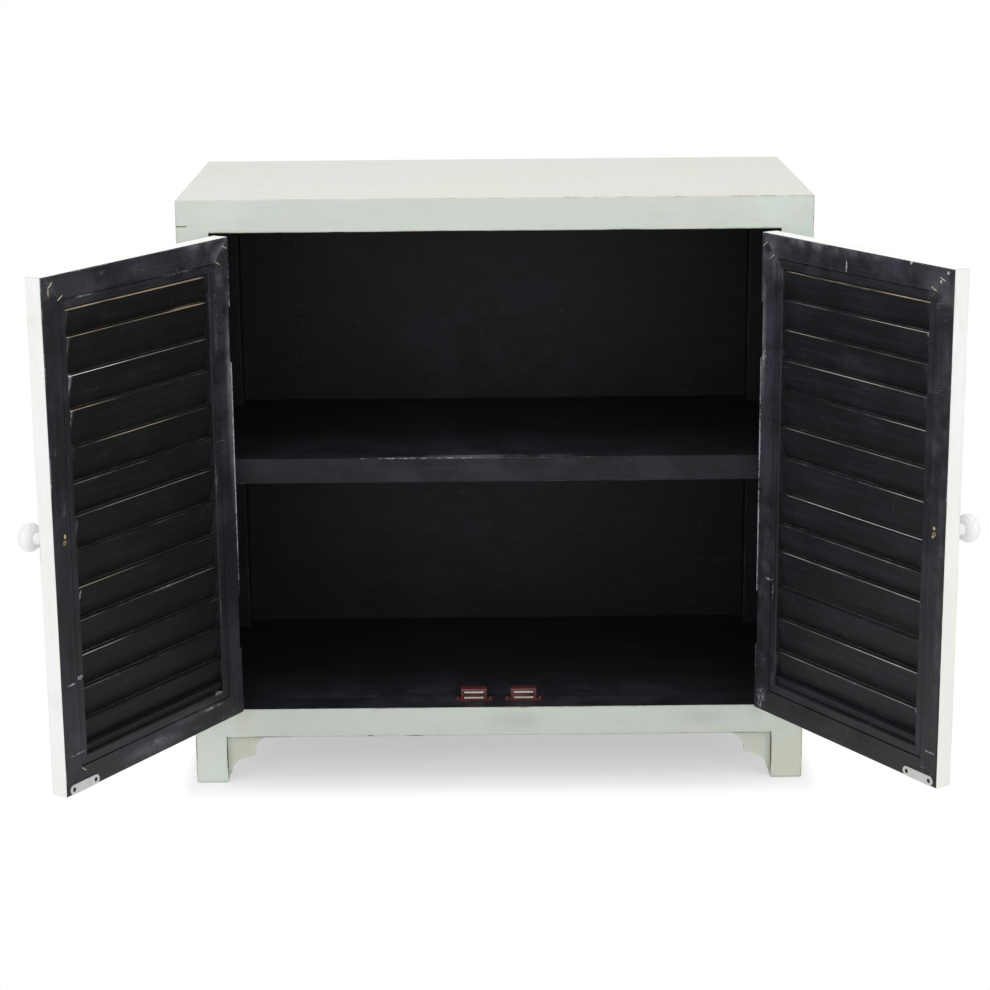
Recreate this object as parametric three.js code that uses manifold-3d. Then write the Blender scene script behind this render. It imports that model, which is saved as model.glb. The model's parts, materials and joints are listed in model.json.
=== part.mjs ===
// Louvred door cabinet: a painted wooden case on four straight legs, with one fixed shelf and a pair of
// louvred doors, modelled with both doors standing open.
// Millimetres. +Z is up, +X to the right and +Y to the back. Every piece is drawn from the point on the
// floor under the centre of the case; at the end the origin moves to the middle of the open cabinet.

import * as THREE from 'three';
import { mergeVertices, toCreasedNormals } from 'three/addons/utils/BufferGeometryUtils.js';
import Module from 'manifold-3d';

const wasm = await Module();
wasm.setup();

// Case
const caseWidth = 900;
const caseDepth = 460;
const caseHeight = 870;
const postSize = 47;
const legHeight = 71;
const footChamfer = 3;
const arrisEase = 1.2;
const topThickness = 37;
const topRailHeight = 10;
const bottomRailHeight = 44;
const sidePanelThickness = 15;
const sidePanelInset = 6;
const sidePanelTongue = 8;
const backPanelThickness = 6;
const backPanelInset = 1;
const backRebateWidth = 10;
const floorThickness = 15;
const shelfThickness = 37;
const shelfTop = 486;
const shelfSetback = 38;
const housingDepth = 6;

// Brackets between the front legs and the bottom rail
const bracketWidth = 62;
const bracketHeight = 57;
const bracketThickness = 20;
const bracketSetback = 8;
const bracketNose = 1.5;
const bracketToe = 4;
const bracketCuspReach = 38;
const bracketCuspDrop = 32;

// Door frames, mitred at the corners
const doorThickness = 26;
const doorGapAbove = 2.5;
const doorGapBelow = 2.5;
const doorHingeGap = 1.5;
const doorMeetingGap = 3;
const frameWidth = 47;
const frameFlatWidth = 33;
const frameGrooveWidth = 1.8;
const frameGrooveDepth = 2.4;
const frameBeadDrop = 1;
const frameBeadEase = 1.5;
const frameEase = 1;
const mitreGap = 0.3;
const leftDoorOpenDegrees = 120.9;
const rightDoorOpenDegrees = 121.3;

// Louvre slats, which keep their proportion to the louvred height
const slatThicknessShare = 0.0123;
const slatRunShare = 0.0982;
const slatReveal = 2.6;
const slatHousing = 5;
const slatClearance = 0.3;
const slatLean = THREE.MathUtils.degToRad(14);
const endSlatSink = 0.6;

// Upper edge of each slat, as a share of the louvred height, from the top slat down
const leftSlatShares = [
  0.937, 0.853, 0.777, 0.694, 0.616, 0.543, 0.464, 0.383, 0.308, 0.229, 0.152, 0.078,
];
const rightSlatShares = [
  0.93, 0.861, 0.789, 0.716, 0.632, 0.558, 0.465, 0.397, 0.332, 0.2425, 0.167, 0.085,
];
const fillerSlatShare = 0.021;

// Butt hinges
const hingeLength = 80;
const hingeEndDistance = 99;
const hingeLeafWidth = 23;
const hingeLeafThickness = 2;
const hingeBarrelRadius = 3;
const hingePinRadius = 1.3;
const hingeRunningClearance = 0.3;
const hingeAxisInset = 2.8;
const hingeAxisProud = 2.2;
const hingeKnuckleCount = 5;
const hingeScrewHoleRadius = 2;
const hingeScrewCount = 3;
const hingeScrewEndDistance = 12;
const hingeScrewInset = 15;
const hingeScrewStagger = 2.6;

// Knobs
const knobHeight = 349;
const knobEdgeDistance = 21;
const knobSeatRadius = 10.5;
const knobSeatHeight = 2.5;
const knobNeckRadius = 8.2;
const knobNeckReach = 7;
const knobHeadRadius = 19.7;
const knobHeadBackDepth = 13.5;
const knobHeadReach = 32;
const knobReach = 46;
const knobClearance = 0.3;

// Magnetic catches and their strike plates
const catchOffset = 37;
const catchBodyWidth = 37.5;
const catchBodyDepth = 16;
const catchBodyHeight = 18;
const catchBodyEase = 1.2;
const catchEarSpan = 58;
const catchEarDepth = 11;
const catchEarThickness = 3;
const catchScrewSpacing = 48;
const catchScrewRadius = 1.8;
const poleWidth = 28.5;
const poleThickness = 2;
const poleProud = 1.3;
const poleLowerHeight = 4.2;
const poleUpperHeight = 12.6;
const catchRunningGap = 0.5;
const strikeLength = 59.5;
const strikeWidth = 13;
const strikeThickness = 1.6;
const strikeHeight = 7.5;
const strikeHoleSpacing = 45;
const strikeHoleRadius = 2;
const strikeSinkRadius = 3.6;
const seatClearance = 0.3;

// Cuts run past the surfaces that they open by this much
const cutOverrun = 5;

// Faces that meet at less than this angle are shaded as one smooth surface
const creaseAngle = THREE.MathUtils.degToRad(35);

// Places that follow from the sizes above
const frontPlane = -caseDepth / 2;
const backPlane = caseDepth / 2;
const postInner = caseWidth / 2 - postSize;
const postBack = frontPlane + postSize;
const rearPostFront = backPlane - postSize;
const topUnderside = caseHeight - topThickness;
const openingTop = topUnderside - topRailHeight;
const floorTop = legHeight + bottomRailHeight;
const sidePanelOuter = caseWidth / 2 - sidePanelInset;
const sidePanelInner = sidePanelOuter - sidePanelThickness;
const backPanelFace = backPlane - backPanelInset - backPanelThickness;
const doorWidth = postInner - doorHingeGap - doorMeetingGap / 2;
const doorBottom = floorTop + doorGapBelow;
const doorHeight = openingTop - doorGapAbove - doorBottom;
const louvreHeight = doorHeight - 2 * frameWidth;
const slatThickness = slatThicknessShare * louvreHeight;
const slatRun = slatRunShare * louvreHeight;

// Seen from above, a closed left door lies in these coordinates around its hinge axis
const doorEdgeX = doorHingeGap - hingeAxisInset;
const doorFaceY = hingeAxisProud;

const sagePaint = new THREE.MeshStandardMaterial({ color: 0xcfd8cd, roughness: 0.55, metalness: 0 });
const blackStain = new THREE.MeshStandardMaterial({ color: 0x1d1f26, roughness: 0.6, metalness: 0 });
const whiteGlaze = new THREE.MeshStandardMaterial({ color: 0xe4e4e2, roughness: 0.15, metalness: 0 });
const brownPlastic = new THREE.MeshStandardMaterial({ color: 0x4a2522, roughness: 0.4, metalness: 0 });
const zincSteel = new THREE.MeshStandardMaterial({ color: 0xb9bdc1, roughness: 0.35, metalness: 1 });
const darkSteel = new THREE.MeshStandardMaterial({ color: 0x3a3633, roughness: 0.5, metalness: 1 });

// A closed three.js mesh as a solid that can be cut and joined.
function solidOf(geometry) {
  const bare = geometry.clone();
  bare.deleteAttribute('normal');
  bare.deleteAttribute('uv');
  const merged = mergeVertices(bare);
  return new wasm.Manifold(new wasm.Mesh({
    numProp: 3,
    vertProperties: merged.attributes.position.array,
    triVerts: merged.index.array,
  }));
}

// The triangles of a solid as a three.js geometry.
function geometryOf(solid) {
  const mesh = solid.getMesh();
  const geometry = new THREE.BufferGeometry();
  geometry.setAttribute('position', new THREE.BufferAttribute(mesh.vertProperties, mesh.numProp));
  geometry.setIndex(new THREE.BufferAttribute(mesh.triVerts, 1));
  return toCreasedNormals(geometry, creaseAngle);
}

function cut(solid, ...tools) {
  return tools.reduce((rest, tool) => rest.subtract(tool), solid);
}

function join(solid, ...others) {
  return others.reduce((whole, other) => whole.add(other), solid);
}

// A box between two corners.
function block(low, high) {
  const size = high.map((value, axis) => value - low[axis]);
  const middle = high.map((value, axis) => (value + low[axis]) / 2);
  return new THREE.BoxGeometry(...size).translate(...middle);
}

function blockSolid(low, high) {
  return solidOf(block(low, high));
}

// A flat outline in X and Y, raised from z = bottom by a height.
function raised(shape, bottom, height, curveSegments = 8) {
  return new THREE.ExtrudeGeometry(shape, { depth: height, bevelEnabled: false, curveSegments })
    .translate(0, 0, bottom);
}

function polygon(points) {
  return new THREE.Shape(points.map(([x, y]) => new THREE.Vector2(x, y)));
}

// An outline in Y and Z, run along X from one end to the other.
function runAlongX(shape, start, end) {
  const turn = new THREE.Matrix4().makeBasis(
    new THREE.Vector3(0, 1, 0),
    new THREE.Vector3(0, 0, 1),
    new THREE.Vector3(1, 0, 0),
  );
  return raised(shape, start, end - start).applyMatrix4(turn);
}

// An outline in X and Z, run along Y from front to back.
function runAlongY(shape, front, back, curveSegments = 8) {
  return raised(shape, 0, back - front, curveSegments).rotateX(Math.PI / 2).translate(0, back, 0);
}

// A round bar along Z.
function barSolid(radius, bottom, top, sides = 16) {
  const height = top - bottom;
  const bar = new THREE.CylinderGeometry(radius, radius, height, sides).rotateX(Math.PI / 2);
  return solidOf(bar.translate(0, 0, bottom + height / 2));
}

// The mirror image across the plane x = 0, with its faces turned outwards again.
function mirrored(geometry) {
  const copy = geometry.clone().scale(-1, 1, 1);
  const corners = copy.index ? copy.index.array : Array(copy.attributes.position.count).keys();
  const order = [...corners];
  for (let i = 0; i < order.length; i += 3) {
    [order[i], order[i + 1]] = [order[i + 1], order[i]];
  }
  return copy.setIndex(order);
}

function named(name, geometry, material) {
  const mesh = new THREE.Mesh(geometry, material);
  mesh.name = name;
  return mesh;
}

// A pair of like pieces, the right one mirrored from the left.
function leftAndRight(name, geometry, material) {
  return [named(`left_${name}`, geometry, material), named(`right_${name}`, mirrored(geometry), material)];
}

// An upright box with its four upright arrises eased and one end chamfered. The other end is square.
function easedUpright(low, high, squareEnd, endEase) {
  const [left, front, bottom] = low;
  const [right, back, top] = high;
  const ease = arrisEase;
  const prism = raised(polygon([
    [left + ease, front],
    [right - ease, front],
    [right, front + ease],
    [right, back - ease],
    [right - ease, back],
    [left + ease, back],
    [left, back - ease],
    [left, front + ease],
  ]), bottom, top - bottom);
  const start = squareEnd === 'bottom' ? bottom - cutOverrun : bottom + endEase;
  const end = squareEnd === 'top' ? top + cutOverrun : top - endEase;
  const chamfered = new THREE.ExtrudeGeometry(polygon([
    [left + endEase, front + endEase],
    [right - endEase, front + endEase],
    [right - endEase, back - endEase],
    [left + endEase, back - endEase],
  ]), {
    depth: end - start,
    bevelEnabled: true,
    bevelSegments: 1,
    bevelSize: endEase,
    bevelThickness: endEase,
  }).translate(0, 0, start);
  return solidOf(prism).intersect(solidOf(chamfered));
}

// A post at the left side, chamfered round its foot, before its grooves are cut.
function plainPost(front) {
  return easedUpright(
    [-caseWidth / 2, front, 0],
    [-postInner, front + postSize, topUnderside],
    'top',
    footChamfer,
  );
}

// A board seen from its end. The two arrises along its front are eased where their ease isn't zero.
function easedFront(front, back, bottom, top, lowerEase, upperEase) {
  const points = [[back, bottom], [back, top], [front + upperEase, top]];
  if (upperEase > 0) {
    points.push([front, top - upperEase]);
  }
  points.push([front, bottom + lowerEase]);
  if (lowerEase > 0) {
    points.push([front + lowerEase, bottom]);
  }
  return polygon(points);
}

// The groove that holds one edge of the left side panel.
function panelGroove(edge, inward) {
  const ends = [edge - inward * sidePanelTongue, edge + inward * cutOverrun].sort((a, b) => a - b);
  return blockSolid(
    [-sidePanelOuter, ends[0], legHeight],
    [-sidePanelInner, ends[1], topUnderside + cutOverrun],
  );
}

// The left front post. Its inner arris stays square where a rail meets it flush.
function frontPost() {
  const squareCorner = (bottom, top) => blockSolid(
    [-postInner - arrisEase, frontPlane, bottom],
    [-postInner, frontPlane + arrisEase, top],
  );
  const whole = join(
    plainPost(frontPlane),
    squareCorner(legHeight + arrisEase, floorTop - arrisEase),
    squareCorner(openingTop + arrisEase, topUnderside),
  );
  return geometryOf(cut(whole, panelGroove(postBack, 1)));
}

function rearPost() {
  const rebate = blockSolid(
    [-postInner - backRebateWidth, backPanelFace, legHeight],
    [-postInner + cutOverrun, backPlane + cutOverrun, topUnderside + cutOverrun],
  );
  return geometryOf(cut(plainPost(rearPostFront), panelGroove(rearPostFront, -1), rebate));
}

// The left side panel: its edges stand in the posts, and the floor and the shelf are housed in it.
function sidePanel() {
  const panel = blockSolid(
    [-sidePanelOuter, postBack - sidePanelTongue, legHeight],
    [-sidePanelInner, rearPostFront + sidePanelTongue, topUnderside],
  );
  const housings = [[floorTop - floorThickness, floorTop], [shelfTop - shelfThickness, shelfTop]];
  const cuts = housings.map(([bottom, top]) => blockSolid(
    [-sidePanelInner - housingDepth, postBack, bottom],
    [-sidePanelInner + cutOverrun, rearPostFront, top],
  ));
  return geometryOf(cut(panel, ...cuts));
}

// The outline of a board that runs between the side panels and fills the space between the posts.
function boardBetweenPosts(front) {
  const wide = sidePanelInner + housingDepth;
  const rightHalf = front < postBack
    ? [[postInner, front], [postInner, postBack], [wide, postBack]]
    : [[wide, front]];
  rightHalf.push([wide, rearPostFront], [postInner, rearPostFront], [postInner, backPanelFace]);
  const leftHalf = rightHalf.map(([x, y]) => [-x, y]).reverse();
  return polygon([...rightHalf, ...leftHalf]);
}

// The shelf, cut to the posts and the side panels and eased along its front.
function shelfBoard() {
  const front = frontPlane + shelfSetback;
  const bottom = shelfTop - shelfThickness;
  const wide = sidePanelInner + housingDepth;
  const plan = solidOf(raised(boardBetweenPosts(front), bottom, shelfThickness));
  const profile = easedFront(front, backPlane, bottom, shelfTop, arrisEase, arrisEase);
  return geometryOf(plan.intersect(solidOf(runAlongX(profile, -wide, wide))));
}

// The left bracket: two coves that meet in a cusp, between the leg and the underside of the rail.
function bracket() {
  const outline = new THREE.Shape();
  outline.moveTo(0, 0);
  outline.lineTo(bracketWidth, 0);
  outline.lineTo(bracketWidth, -bracketNose);
  outline.absellipse(
    bracketWidth, -bracketCuspDrop,
    bracketWidth - bracketCuspReach, bracketCuspDrop - bracketNose,
    Math.PI / 2, Math.PI, false,
  );
  outline.absellipse(
    bracketCuspReach, -bracketHeight,
    bracketCuspReach - bracketToe, bracketHeight - bracketCuspDrop,
    Math.PI / 2, Math.PI, false,
  );
  outline.lineTo(0, -bracketHeight);
  const front = frontPlane + bracketSetback;
  return runAlongY(outline, front, front + bracketThickness).translate(-postInner, 0, legHeight);
}

// A double magnetic catch for the left door, standing on the floor board.
function magneticCatch() {
  const front = frontPlane + doorThickness + seatClearance + strikeThickness + catchRunningGap + poleProud;
  const half = catchBodyWidth / 2;
  const back = front + catchBodyDepth;
  const top = floorTop + catchBodyHeight;
  const body = runAlongX(polygon([
    [front, floorTop],
    [back, floorTop],
    [back, top - catchBodyEase],
    [back - catchBodyEase, top],
    [front + catchBodyEase, top],
    [front, top - catchBodyEase],
  ]), -half, half);
  const middle = front + catchBodyDepth / 2;
  const ears = new THREE.Shape();
  const earCentre = (catchEarSpan - catchEarDepth) / 2;
  ears.absarc(earCentre, middle, catchEarDepth / 2, -Math.PI / 2, Math.PI / 2, false);
  ears.absarc(-earCentre, middle, catchEarDepth / 2, Math.PI / 2, Math.PI * 3 / 2, false);
  for (const side of [-1, 1]) {
    const hole = new THREE.Path();
    hole.absarc(side * catchScrewSpacing / 2, middle, catchScrewRadius, 0, Math.PI * 2, true);
    ears.holes.push(hole);
  }
  const poles = [poleLowerHeight, poleUpperHeight].map((height) => blockSolid(
    [-poleWidth / 2, front - poleProud, floorTop + height],
    [poleWidth / 2, middle, floorTop + height + poleThickness],
  ));
  const whole = join(solidOf(body), solidOf(raised(ears, floorTop, catchEarThickness, 6)), ...poles);
  return geometryOf(whole).translate(-catchOffset, 0, 0);
}

// One member of the door frame, lying along Z with its outer edge at x = 0 and its outer face at
// y = 0. Both ends are mitred, so that its length shrinks with the distance from the outer edge.
function mitredMember(length) {
  const inner = doorThickness;
  const beadStart = frameFlatWidth + frameGrooveWidth;
  const beadFace = inner - frameBeadDrop;
  const profile = polygon([
    [frameEase, 0],
    [frameWidth - frameBeadEase, 0],
    [frameWidth, frameBeadEase],
    [frameWidth, beadFace - frameBeadEase],
    [frameWidth - frameBeadEase, beadFace],
    [beadStart, beadFace],
    [beadStart, inner - frameGrooveDepth],
    [frameFlatWidth, inner - frameGrooveDepth],
    [frameFlatWidth, inner],
    [frameEase, inner],
    [0, inner - frameEase],
    [0, frameEase],
  ]);
  const member = raised(profile, 0, length);
  const places = member.attributes.position;
  const endGap = mitreGap * Math.SQRT1_2;
  for (let i = 0; i < places.count; i += 1) {
    const shrink = places.getX(i) + endGap;
    places.setZ(i, places.getZ(i) < length / 2 ? shrink : length - shrink);
  }
  return member;
}

// The outline of a slat in Y and Z, larger all round by a margin where it is a housing.
function slatOutline(upperEdge, run, margin = 0) {
  const acrossY = -Math.cos(slatLean);
  const acrossZ = Math.sin(slatLean);
  const downY = -Math.sin(slatLean);
  const downZ = -Math.cos(slatLean);
  const corner = (across, down) => [
    doorThickness - slatReveal + across * acrossY + down * downY,
    upperEdge + across * acrossZ + down * downZ,
  ];
  return polygon([
    corner(-margin, -margin),
    corner(-margin, run + margin),
    corner(slatThickness + margin, run + margin),
    corner(slatThickness + margin, -margin),
  ]);
}

// Every slat of a door: where its upper edge is and how far it runs down, clear of the bottom rail.
// The first slat is let into the top rail and the last, a short one, into the bottom rail.
function slatPlan(shares) {
  const lowest = frameWidth + slatClearance;
  const rise = slatThickness * Math.sin(slatLean);
  const topSlat = frameWidth + louvreHeight - rise + endSlatSink;
  const edges = [topSlat, ...shares.map((share) => frameWidth + share * louvreHeight)];
  const plan = edges.map((upperEdge) => ({
    upperEdge,
    run: Math.min(slatRun, (upperEdge - lowest) / Math.cos(slatLean)),
  }));
  const fillerEdge = frameWidth + fillerSlatShare * louvreHeight;
  plan.push({
    upperEdge: fillerEdge,
    run: (fillerEdge + rise + endSlatSink - frameWidth) / Math.cos(slatLean),
  });
  return plan;
}

const slatStart = frameWidth - slatHousing;
const slatEnd = doorWidth - slatStart;

function slat({ upperEdge, run }) {
  return runAlongX(slatOutline(upperEdge, run), slatStart, slatEnd);
}

// The housings of all slats, which cross the louvred opening from stile to stile.
function slatHousings(plan) {
  return plan.map(({ upperEdge, run }) => solidOf(runAlongX(
    slatOutline(upperEdge, run, slatClearance),
    slatStart - slatClearance,
    slatEnd + slatClearance,
  )));
}

const hingeMiddles = [
  hingeEndDistance + hingeLength / 2,
  doorHeight - hingeEndDistance - hingeLength / 2,
];

// The gains in the hinge stile, deep enough for both leaves and open through the door's thickness.
function hingeGains() {
  const depth = 2 * hingeAxisInset - doorHingeGap + seatClearance;
  const half = hingeLength / 2 + seatClearance;
  return hingeMiddles.map((middle) => blockSolid(
    [-cutOverrun, -cutOverrun, middle - half],
    [depth, doorThickness + cutOverrun, middle + half],
  ));
}

function hingeStile(plan) {
  return geometryOf(cut(solidOf(mitredMember(doorHeight)), ...slatHousings(plan), ...hingeGains()));
}

function lockStile(plan) {
  const member = mitredMember(doorHeight).rotateY(Math.PI).translate(doorWidth, 0, doorHeight);
  return geometryOf(cut(solidOf(member), ...slatHousings(plan)));
}

function topRail(plan) {
  const member = mitredMember(doorWidth).rotateY(Math.PI / 2).translate(0, 0, doorHeight);
  return geometryOf(join(solidOf(member), solidOf(slat(plan[0]))));
}

function bottomRail(plan) {
  const member = mitredMember(doorWidth).rotateY(-Math.PI / 2).translate(doorWidth, 0, 0);
  return geometryOf(join(solidOf(member), solidOf(slat(plan[plan.length - 1]))));
}

// A turned knob on the outer face: a seat, a neck and a round head, flatter at the back and the front.
function knob() {
  const profile = [
    new THREE.Vector2(0, 0),
    new THREE.Vector2(knobSeatRadius, 0),
    new THREE.Vector2(knobSeatRadius, knobSeatHeight),
    new THREE.Vector2(knobNeckRadius, knobNeckReach),
  ];
  const steps = 12;
  const start = -Math.acos(knobNeckRadius / knobHeadRadius);
  for (let step = 0; step < steps; step += 1) {
    const turn = start + (Math.PI / 2 - start) * (step / steps);
    const depth = turn < 0 ? knobHeadBackDepth : knobReach - knobHeadReach;
    profile.push(new THREE.Vector2(
      knobHeadRadius * Math.cos(turn),
      knobHeadReach + depth * Math.sin(turn),
    ));
  }
  profile.push(new THREE.Vector2(0, knobReach));
  return new THREE.LatheGeometry(profile, 24).rotateX(Math.PI)
    .translate(doorWidth - knobEdgeDistance, -knobClearance, knobHeight);
}

// The strike plate that the catch holds: round-ended, across the mitre at the foot of the door.
function strikePlate() {
  const outline = new THREE.Shape();
  const reach = (strikeLength - strikeWidth) / 2;
  outline.absarc(reach, 0, strikeWidth / 2, -Math.PI / 2, Math.PI / 2, false);
  outline.absarc(-reach, 0, strikeWidth / 2, Math.PI / 2, Math.PI * 3 / 2, false);
  for (const side of [-1, 1]) {
    const hole = new THREE.Path();
    hole.absarc(side * strikeHoleSpacing / 2, 0, strikeHoleRadius, 0, Math.PI * 2, true);
    outline.holes.push(hole);
  }
  const inner = doorThickness + seatClearance;
  const plate = solidOf(runAlongY(outline, inner, inner + strikeThickness, 6));
  const sinks = [-1, 1].map((side) => {
    const sink = new THREE.CylinderGeometry(strikeSinkRadius, 0, strikeSinkRadius, 16);
    return solidOf(sink.translate(
      side * strikeHoleSpacing / 2,
      inner + strikeThickness - strikeSinkRadius / 2,
      0,
    ));
  });
  const closedX = postInner - doorHingeGap - catchOffset;
  return geometryOf(cut(plate, ...sinks)).translate(closedX, 0, strikeHeight);
}

// Half of a butt hinge, standing on z = 0 round the hinge axis. The fixed leaf holds the outer and
// middle knuckles and the pin; the door leaf holds the two knuckles between them.
function hingeLeaf(fixed) {
  const innerFace = hingeAxisInset - hingeLeafThickness;
  const side = fixed ? -1 : 1;
  const faces = [side * innerFace, side * hingeAxisInset].sort((a, b) => a - b);
  const plate = blockSolid([faces[0], 0, 0], [faces[1], hingeAxisProud + hingeLeafWidth, hingeLength]);
  const knuckleLength = hingeLength / hingeKnuckleCount;
  const gap = hingeRunningClearance / 2;
  const ownKnuckles = [];
  const otherKnuckles = [];
  for (let i = 0; i < hingeKnuckleCount; i += 1) {
    const bottom = i * knuckleLength;
    const top = bottom + knuckleLength;
    if ((i % 2 === 0) === fixed) {
      ownKnuckles.push(barSolid(hingeBarrelRadius, i === 0 ? bottom : bottom + gap,
        i === hingeKnuckleCount - 1 ? top : top - gap));
    } else {
      otherKnuckles.push(barSolid(hingeBarrelRadius + hingeRunningClearance, bottom - gap, top + gap));
    }
  }
  const screws = [];
  const pitch = (hingeLength - 2 * hingeScrewEndDistance) / (hingeScrewCount - 1);
  for (let i = 0; i < hingeScrewCount; i += 1) {
    const hole = new THREE.CylinderGeometry(
      hingeScrewHoleRadius, hingeScrewHoleRadius, 2 * (hingeAxisInset + cutOverrun), 10,
    );
    hole.rotateZ(Math.PI / 2);
    const stagger = i % 2 === 0 ? -hingeScrewStagger : hingeScrewStagger;
    hole.translate(0, hingeScrewInset + stagger, hingeScrewEndDistance + i * pitch);
    screws.push(solidOf(hole));
  }
  let leaf = cut(plate, ...otherKnuckles, ...screws);
  leaf = join(leaf, ...ownKnuckles);
  if (fixed) {
    return geometryOf(join(leaf, barSolid(hingePinRadius, 0, hingeLength, 12)));
  }
  const bore = barSolid(hingePinRadius + hingeRunningClearance, -cutOverrun, hingeLength + cutOverrun, 12);
  return geometryOf(leaf.subtract(bore));
}

// The case and everything that stays still.
function cabinetCase() {
  const group = new THREE.Group();
  const rail = (bottom, top, lowerEase, upperEase) => runAlongX(
    easedFront(frontPlane, postBack, bottom, top, lowerEase, upperEase),
    -postInner,
    postInner,
  );
  group.add(
    named('top_board', geometryOf(easedUpright(
      [-caseWidth / 2, frontPlane, topUnderside],
      [caseWidth / 2, backPlane, caseHeight],
      'bottom',
      arrisEase,
    )), sagePaint),
    named('top_front_rail', rail(openingTop, topUnderside, arrisEase, 0), sagePaint),
    named('bottom_front_rail', rail(legHeight, floorTop, arrisEase, arrisEase), sagePaint),
    ...leftAndRight('front_post', frontPost(), sagePaint),
    ...leftAndRight('rear_post', rearPost(), sagePaint),
    ...leftAndRight('side_panel', sidePanel(), sagePaint),
    ...leftAndRight('bracket', bracket(), sagePaint),
    named('back_panel', block(
      [-postInner - backRebateWidth, backPanelFace, legHeight],
      [postInner + backRebateWidth, backPanelFace + backPanelThickness, topUnderside],
    ), blackStain),
    named('floor_board', raised(boardBetweenPosts(postBack), floorTop - floorThickness, floorThickness),
      blackStain),
    named('shelf', shelfBoard(), blackStain),
    ...leftAndRight('magnetic_catch', magneticCatch(), brownPlastic),
  );
  return group;
}

// The hinge halves that stay on a post. The left ones are drawn first; the right ones mirror them.
function postLeaves(side, finish) {
  const group = new THREE.Group();
  ['lower', 'upper'].forEach((level, i) => {
    const bottom = doorBottom + hingeMiddles[i] - hingeLength / 2;
    const leaf = hingeLeaf(true).translate(0, 0, bottom);
    group.add(named(`${side}_${level}_hinge_post_leaf`, finish(leaf), darkSteel));
  });
  return group;
}

// A whole door round its hinge axis, in the closed place of the left one.
function door(side, shares, finish) {
  const group = new THREE.Group();
  const plan = slatPlan(shares);
  const add = (name, geometry, material) => {
    const placed = geometry.translate(doorEdgeX, doorFaceY, doorBottom);
    group.add(named(`${side}_door_${name}`, finish(placed), material));
  };
  add('hinge_stile', hingeStile(plan), blackStain);
  add('lock_stile', lockStile(plan), blackStain);
  add('top_rail', topRail(plan), blackStain);
  add('bottom_rail', bottomRail(plan), blackStain);
  plan.slice(1, -1).forEach((place, i) => {
    add(`slat_${String(i + 2).padStart(2, '0')}`, slat(place), blackStain);
  });
  add('knob', knob(), whiteGlaze);
  add('strike_plate', strikePlate(), zincSteel);
  ['lower', 'upper'].forEach((level, i) => {
    const leaf = hingeLeaf(false).translate(0, 0, doorBottom + hingeMiddles[i] - hingeLength / 2);
    group.add(named(`${side}_${level}_hinge_door_leaf`, finish(leaf), darkSteel));
  });
  return group;
}

// A group whose origin is a hinge axis, turned by an angle that opens the door.
function atHinge(side, group, degrees = 0) {
  const sign = side === 'left' ? -1 : 1;
  group.position.set(sign * (postInner - hingeAxisInset), frontPlane - hingeAxisProud, 0);
  group.rotation.z = sign * THREE.MathUtils.degToRad(degrees);
  return group;
}

const asDrawn = (geometry) => geometry;

const cabinet = new THREE.Group();
cabinet.name = 'louvred_door_cabinet';
cabinet.add(
  cabinetCase(),
  atHinge('left', postLeaves('left', asDrawn)),
  atHinge('right', postLeaves('right', mirrored)),
  atHinge('left', door('left', leftSlatShares, asDrawn), leftDoorOpenDegrees),
  atHinge('right', door('right', rightSlatShares, mirrored), rightDoorOpenDegrees),
);

// Set the origin on the floor, under the middle of the space that the open cabinet takes up.
const middle = new THREE.Box3().setFromObject(cabinet, true).getCenter(new THREE.Vector3());
cabinet.position.set(-middle.x, -middle.y, 0);

export default cabinet;
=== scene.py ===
"""Louvred door cabinet: finishes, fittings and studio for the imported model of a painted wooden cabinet."""

import json
import math
import random

import bmesh
import bpy
from mathutils import Matrix, Vector


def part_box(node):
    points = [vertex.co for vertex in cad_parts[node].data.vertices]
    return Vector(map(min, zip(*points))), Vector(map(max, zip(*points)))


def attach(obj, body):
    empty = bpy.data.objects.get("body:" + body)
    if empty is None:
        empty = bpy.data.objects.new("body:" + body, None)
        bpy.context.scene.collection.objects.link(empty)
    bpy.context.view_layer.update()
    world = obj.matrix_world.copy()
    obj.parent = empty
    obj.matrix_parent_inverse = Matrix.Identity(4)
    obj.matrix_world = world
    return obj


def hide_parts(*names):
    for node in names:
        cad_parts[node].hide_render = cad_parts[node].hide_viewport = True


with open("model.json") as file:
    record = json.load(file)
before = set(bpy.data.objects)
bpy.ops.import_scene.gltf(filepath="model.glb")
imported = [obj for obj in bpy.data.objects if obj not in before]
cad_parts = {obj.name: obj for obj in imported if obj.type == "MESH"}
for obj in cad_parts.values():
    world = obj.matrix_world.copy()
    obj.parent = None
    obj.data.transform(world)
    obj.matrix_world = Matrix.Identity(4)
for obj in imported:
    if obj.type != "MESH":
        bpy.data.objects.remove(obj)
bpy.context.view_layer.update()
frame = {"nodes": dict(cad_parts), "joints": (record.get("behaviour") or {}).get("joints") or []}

bl_info = {
    "name": "Louvred Door Cabinet",
    "version": (1, 0, 0),
    "blender": (4, 5, 0),
    "location": "3D View > Sidebar > Cabinet",
    "description": "Finishes a louvred door cabinet and sets it in a plain studio",
    "category": "Add Mesh",
}

NODES = frame["nodes"]
MM = 0.001
AXES = {"X": Vector((1, 0, 0)), "Y": Vector((0, 1, 0)), "Z": Vector((0, 0, 1))}
SIDES = ("left", "right")
SLATS = tuple(f"slat_{number:02d}" for number in range(2, 14))

ALL_SIDES = "+X -X +Y -Y +Z -Z"

# How near a neighbour counts as touching, how far a joined side is moved away so that its arrises don't show,
# and how far the noise is shifted from board to board, in metres
TOUCHING = 0.2 * MM
JOINED_REACH = 1
NOISE_SHIFT = 5

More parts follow.
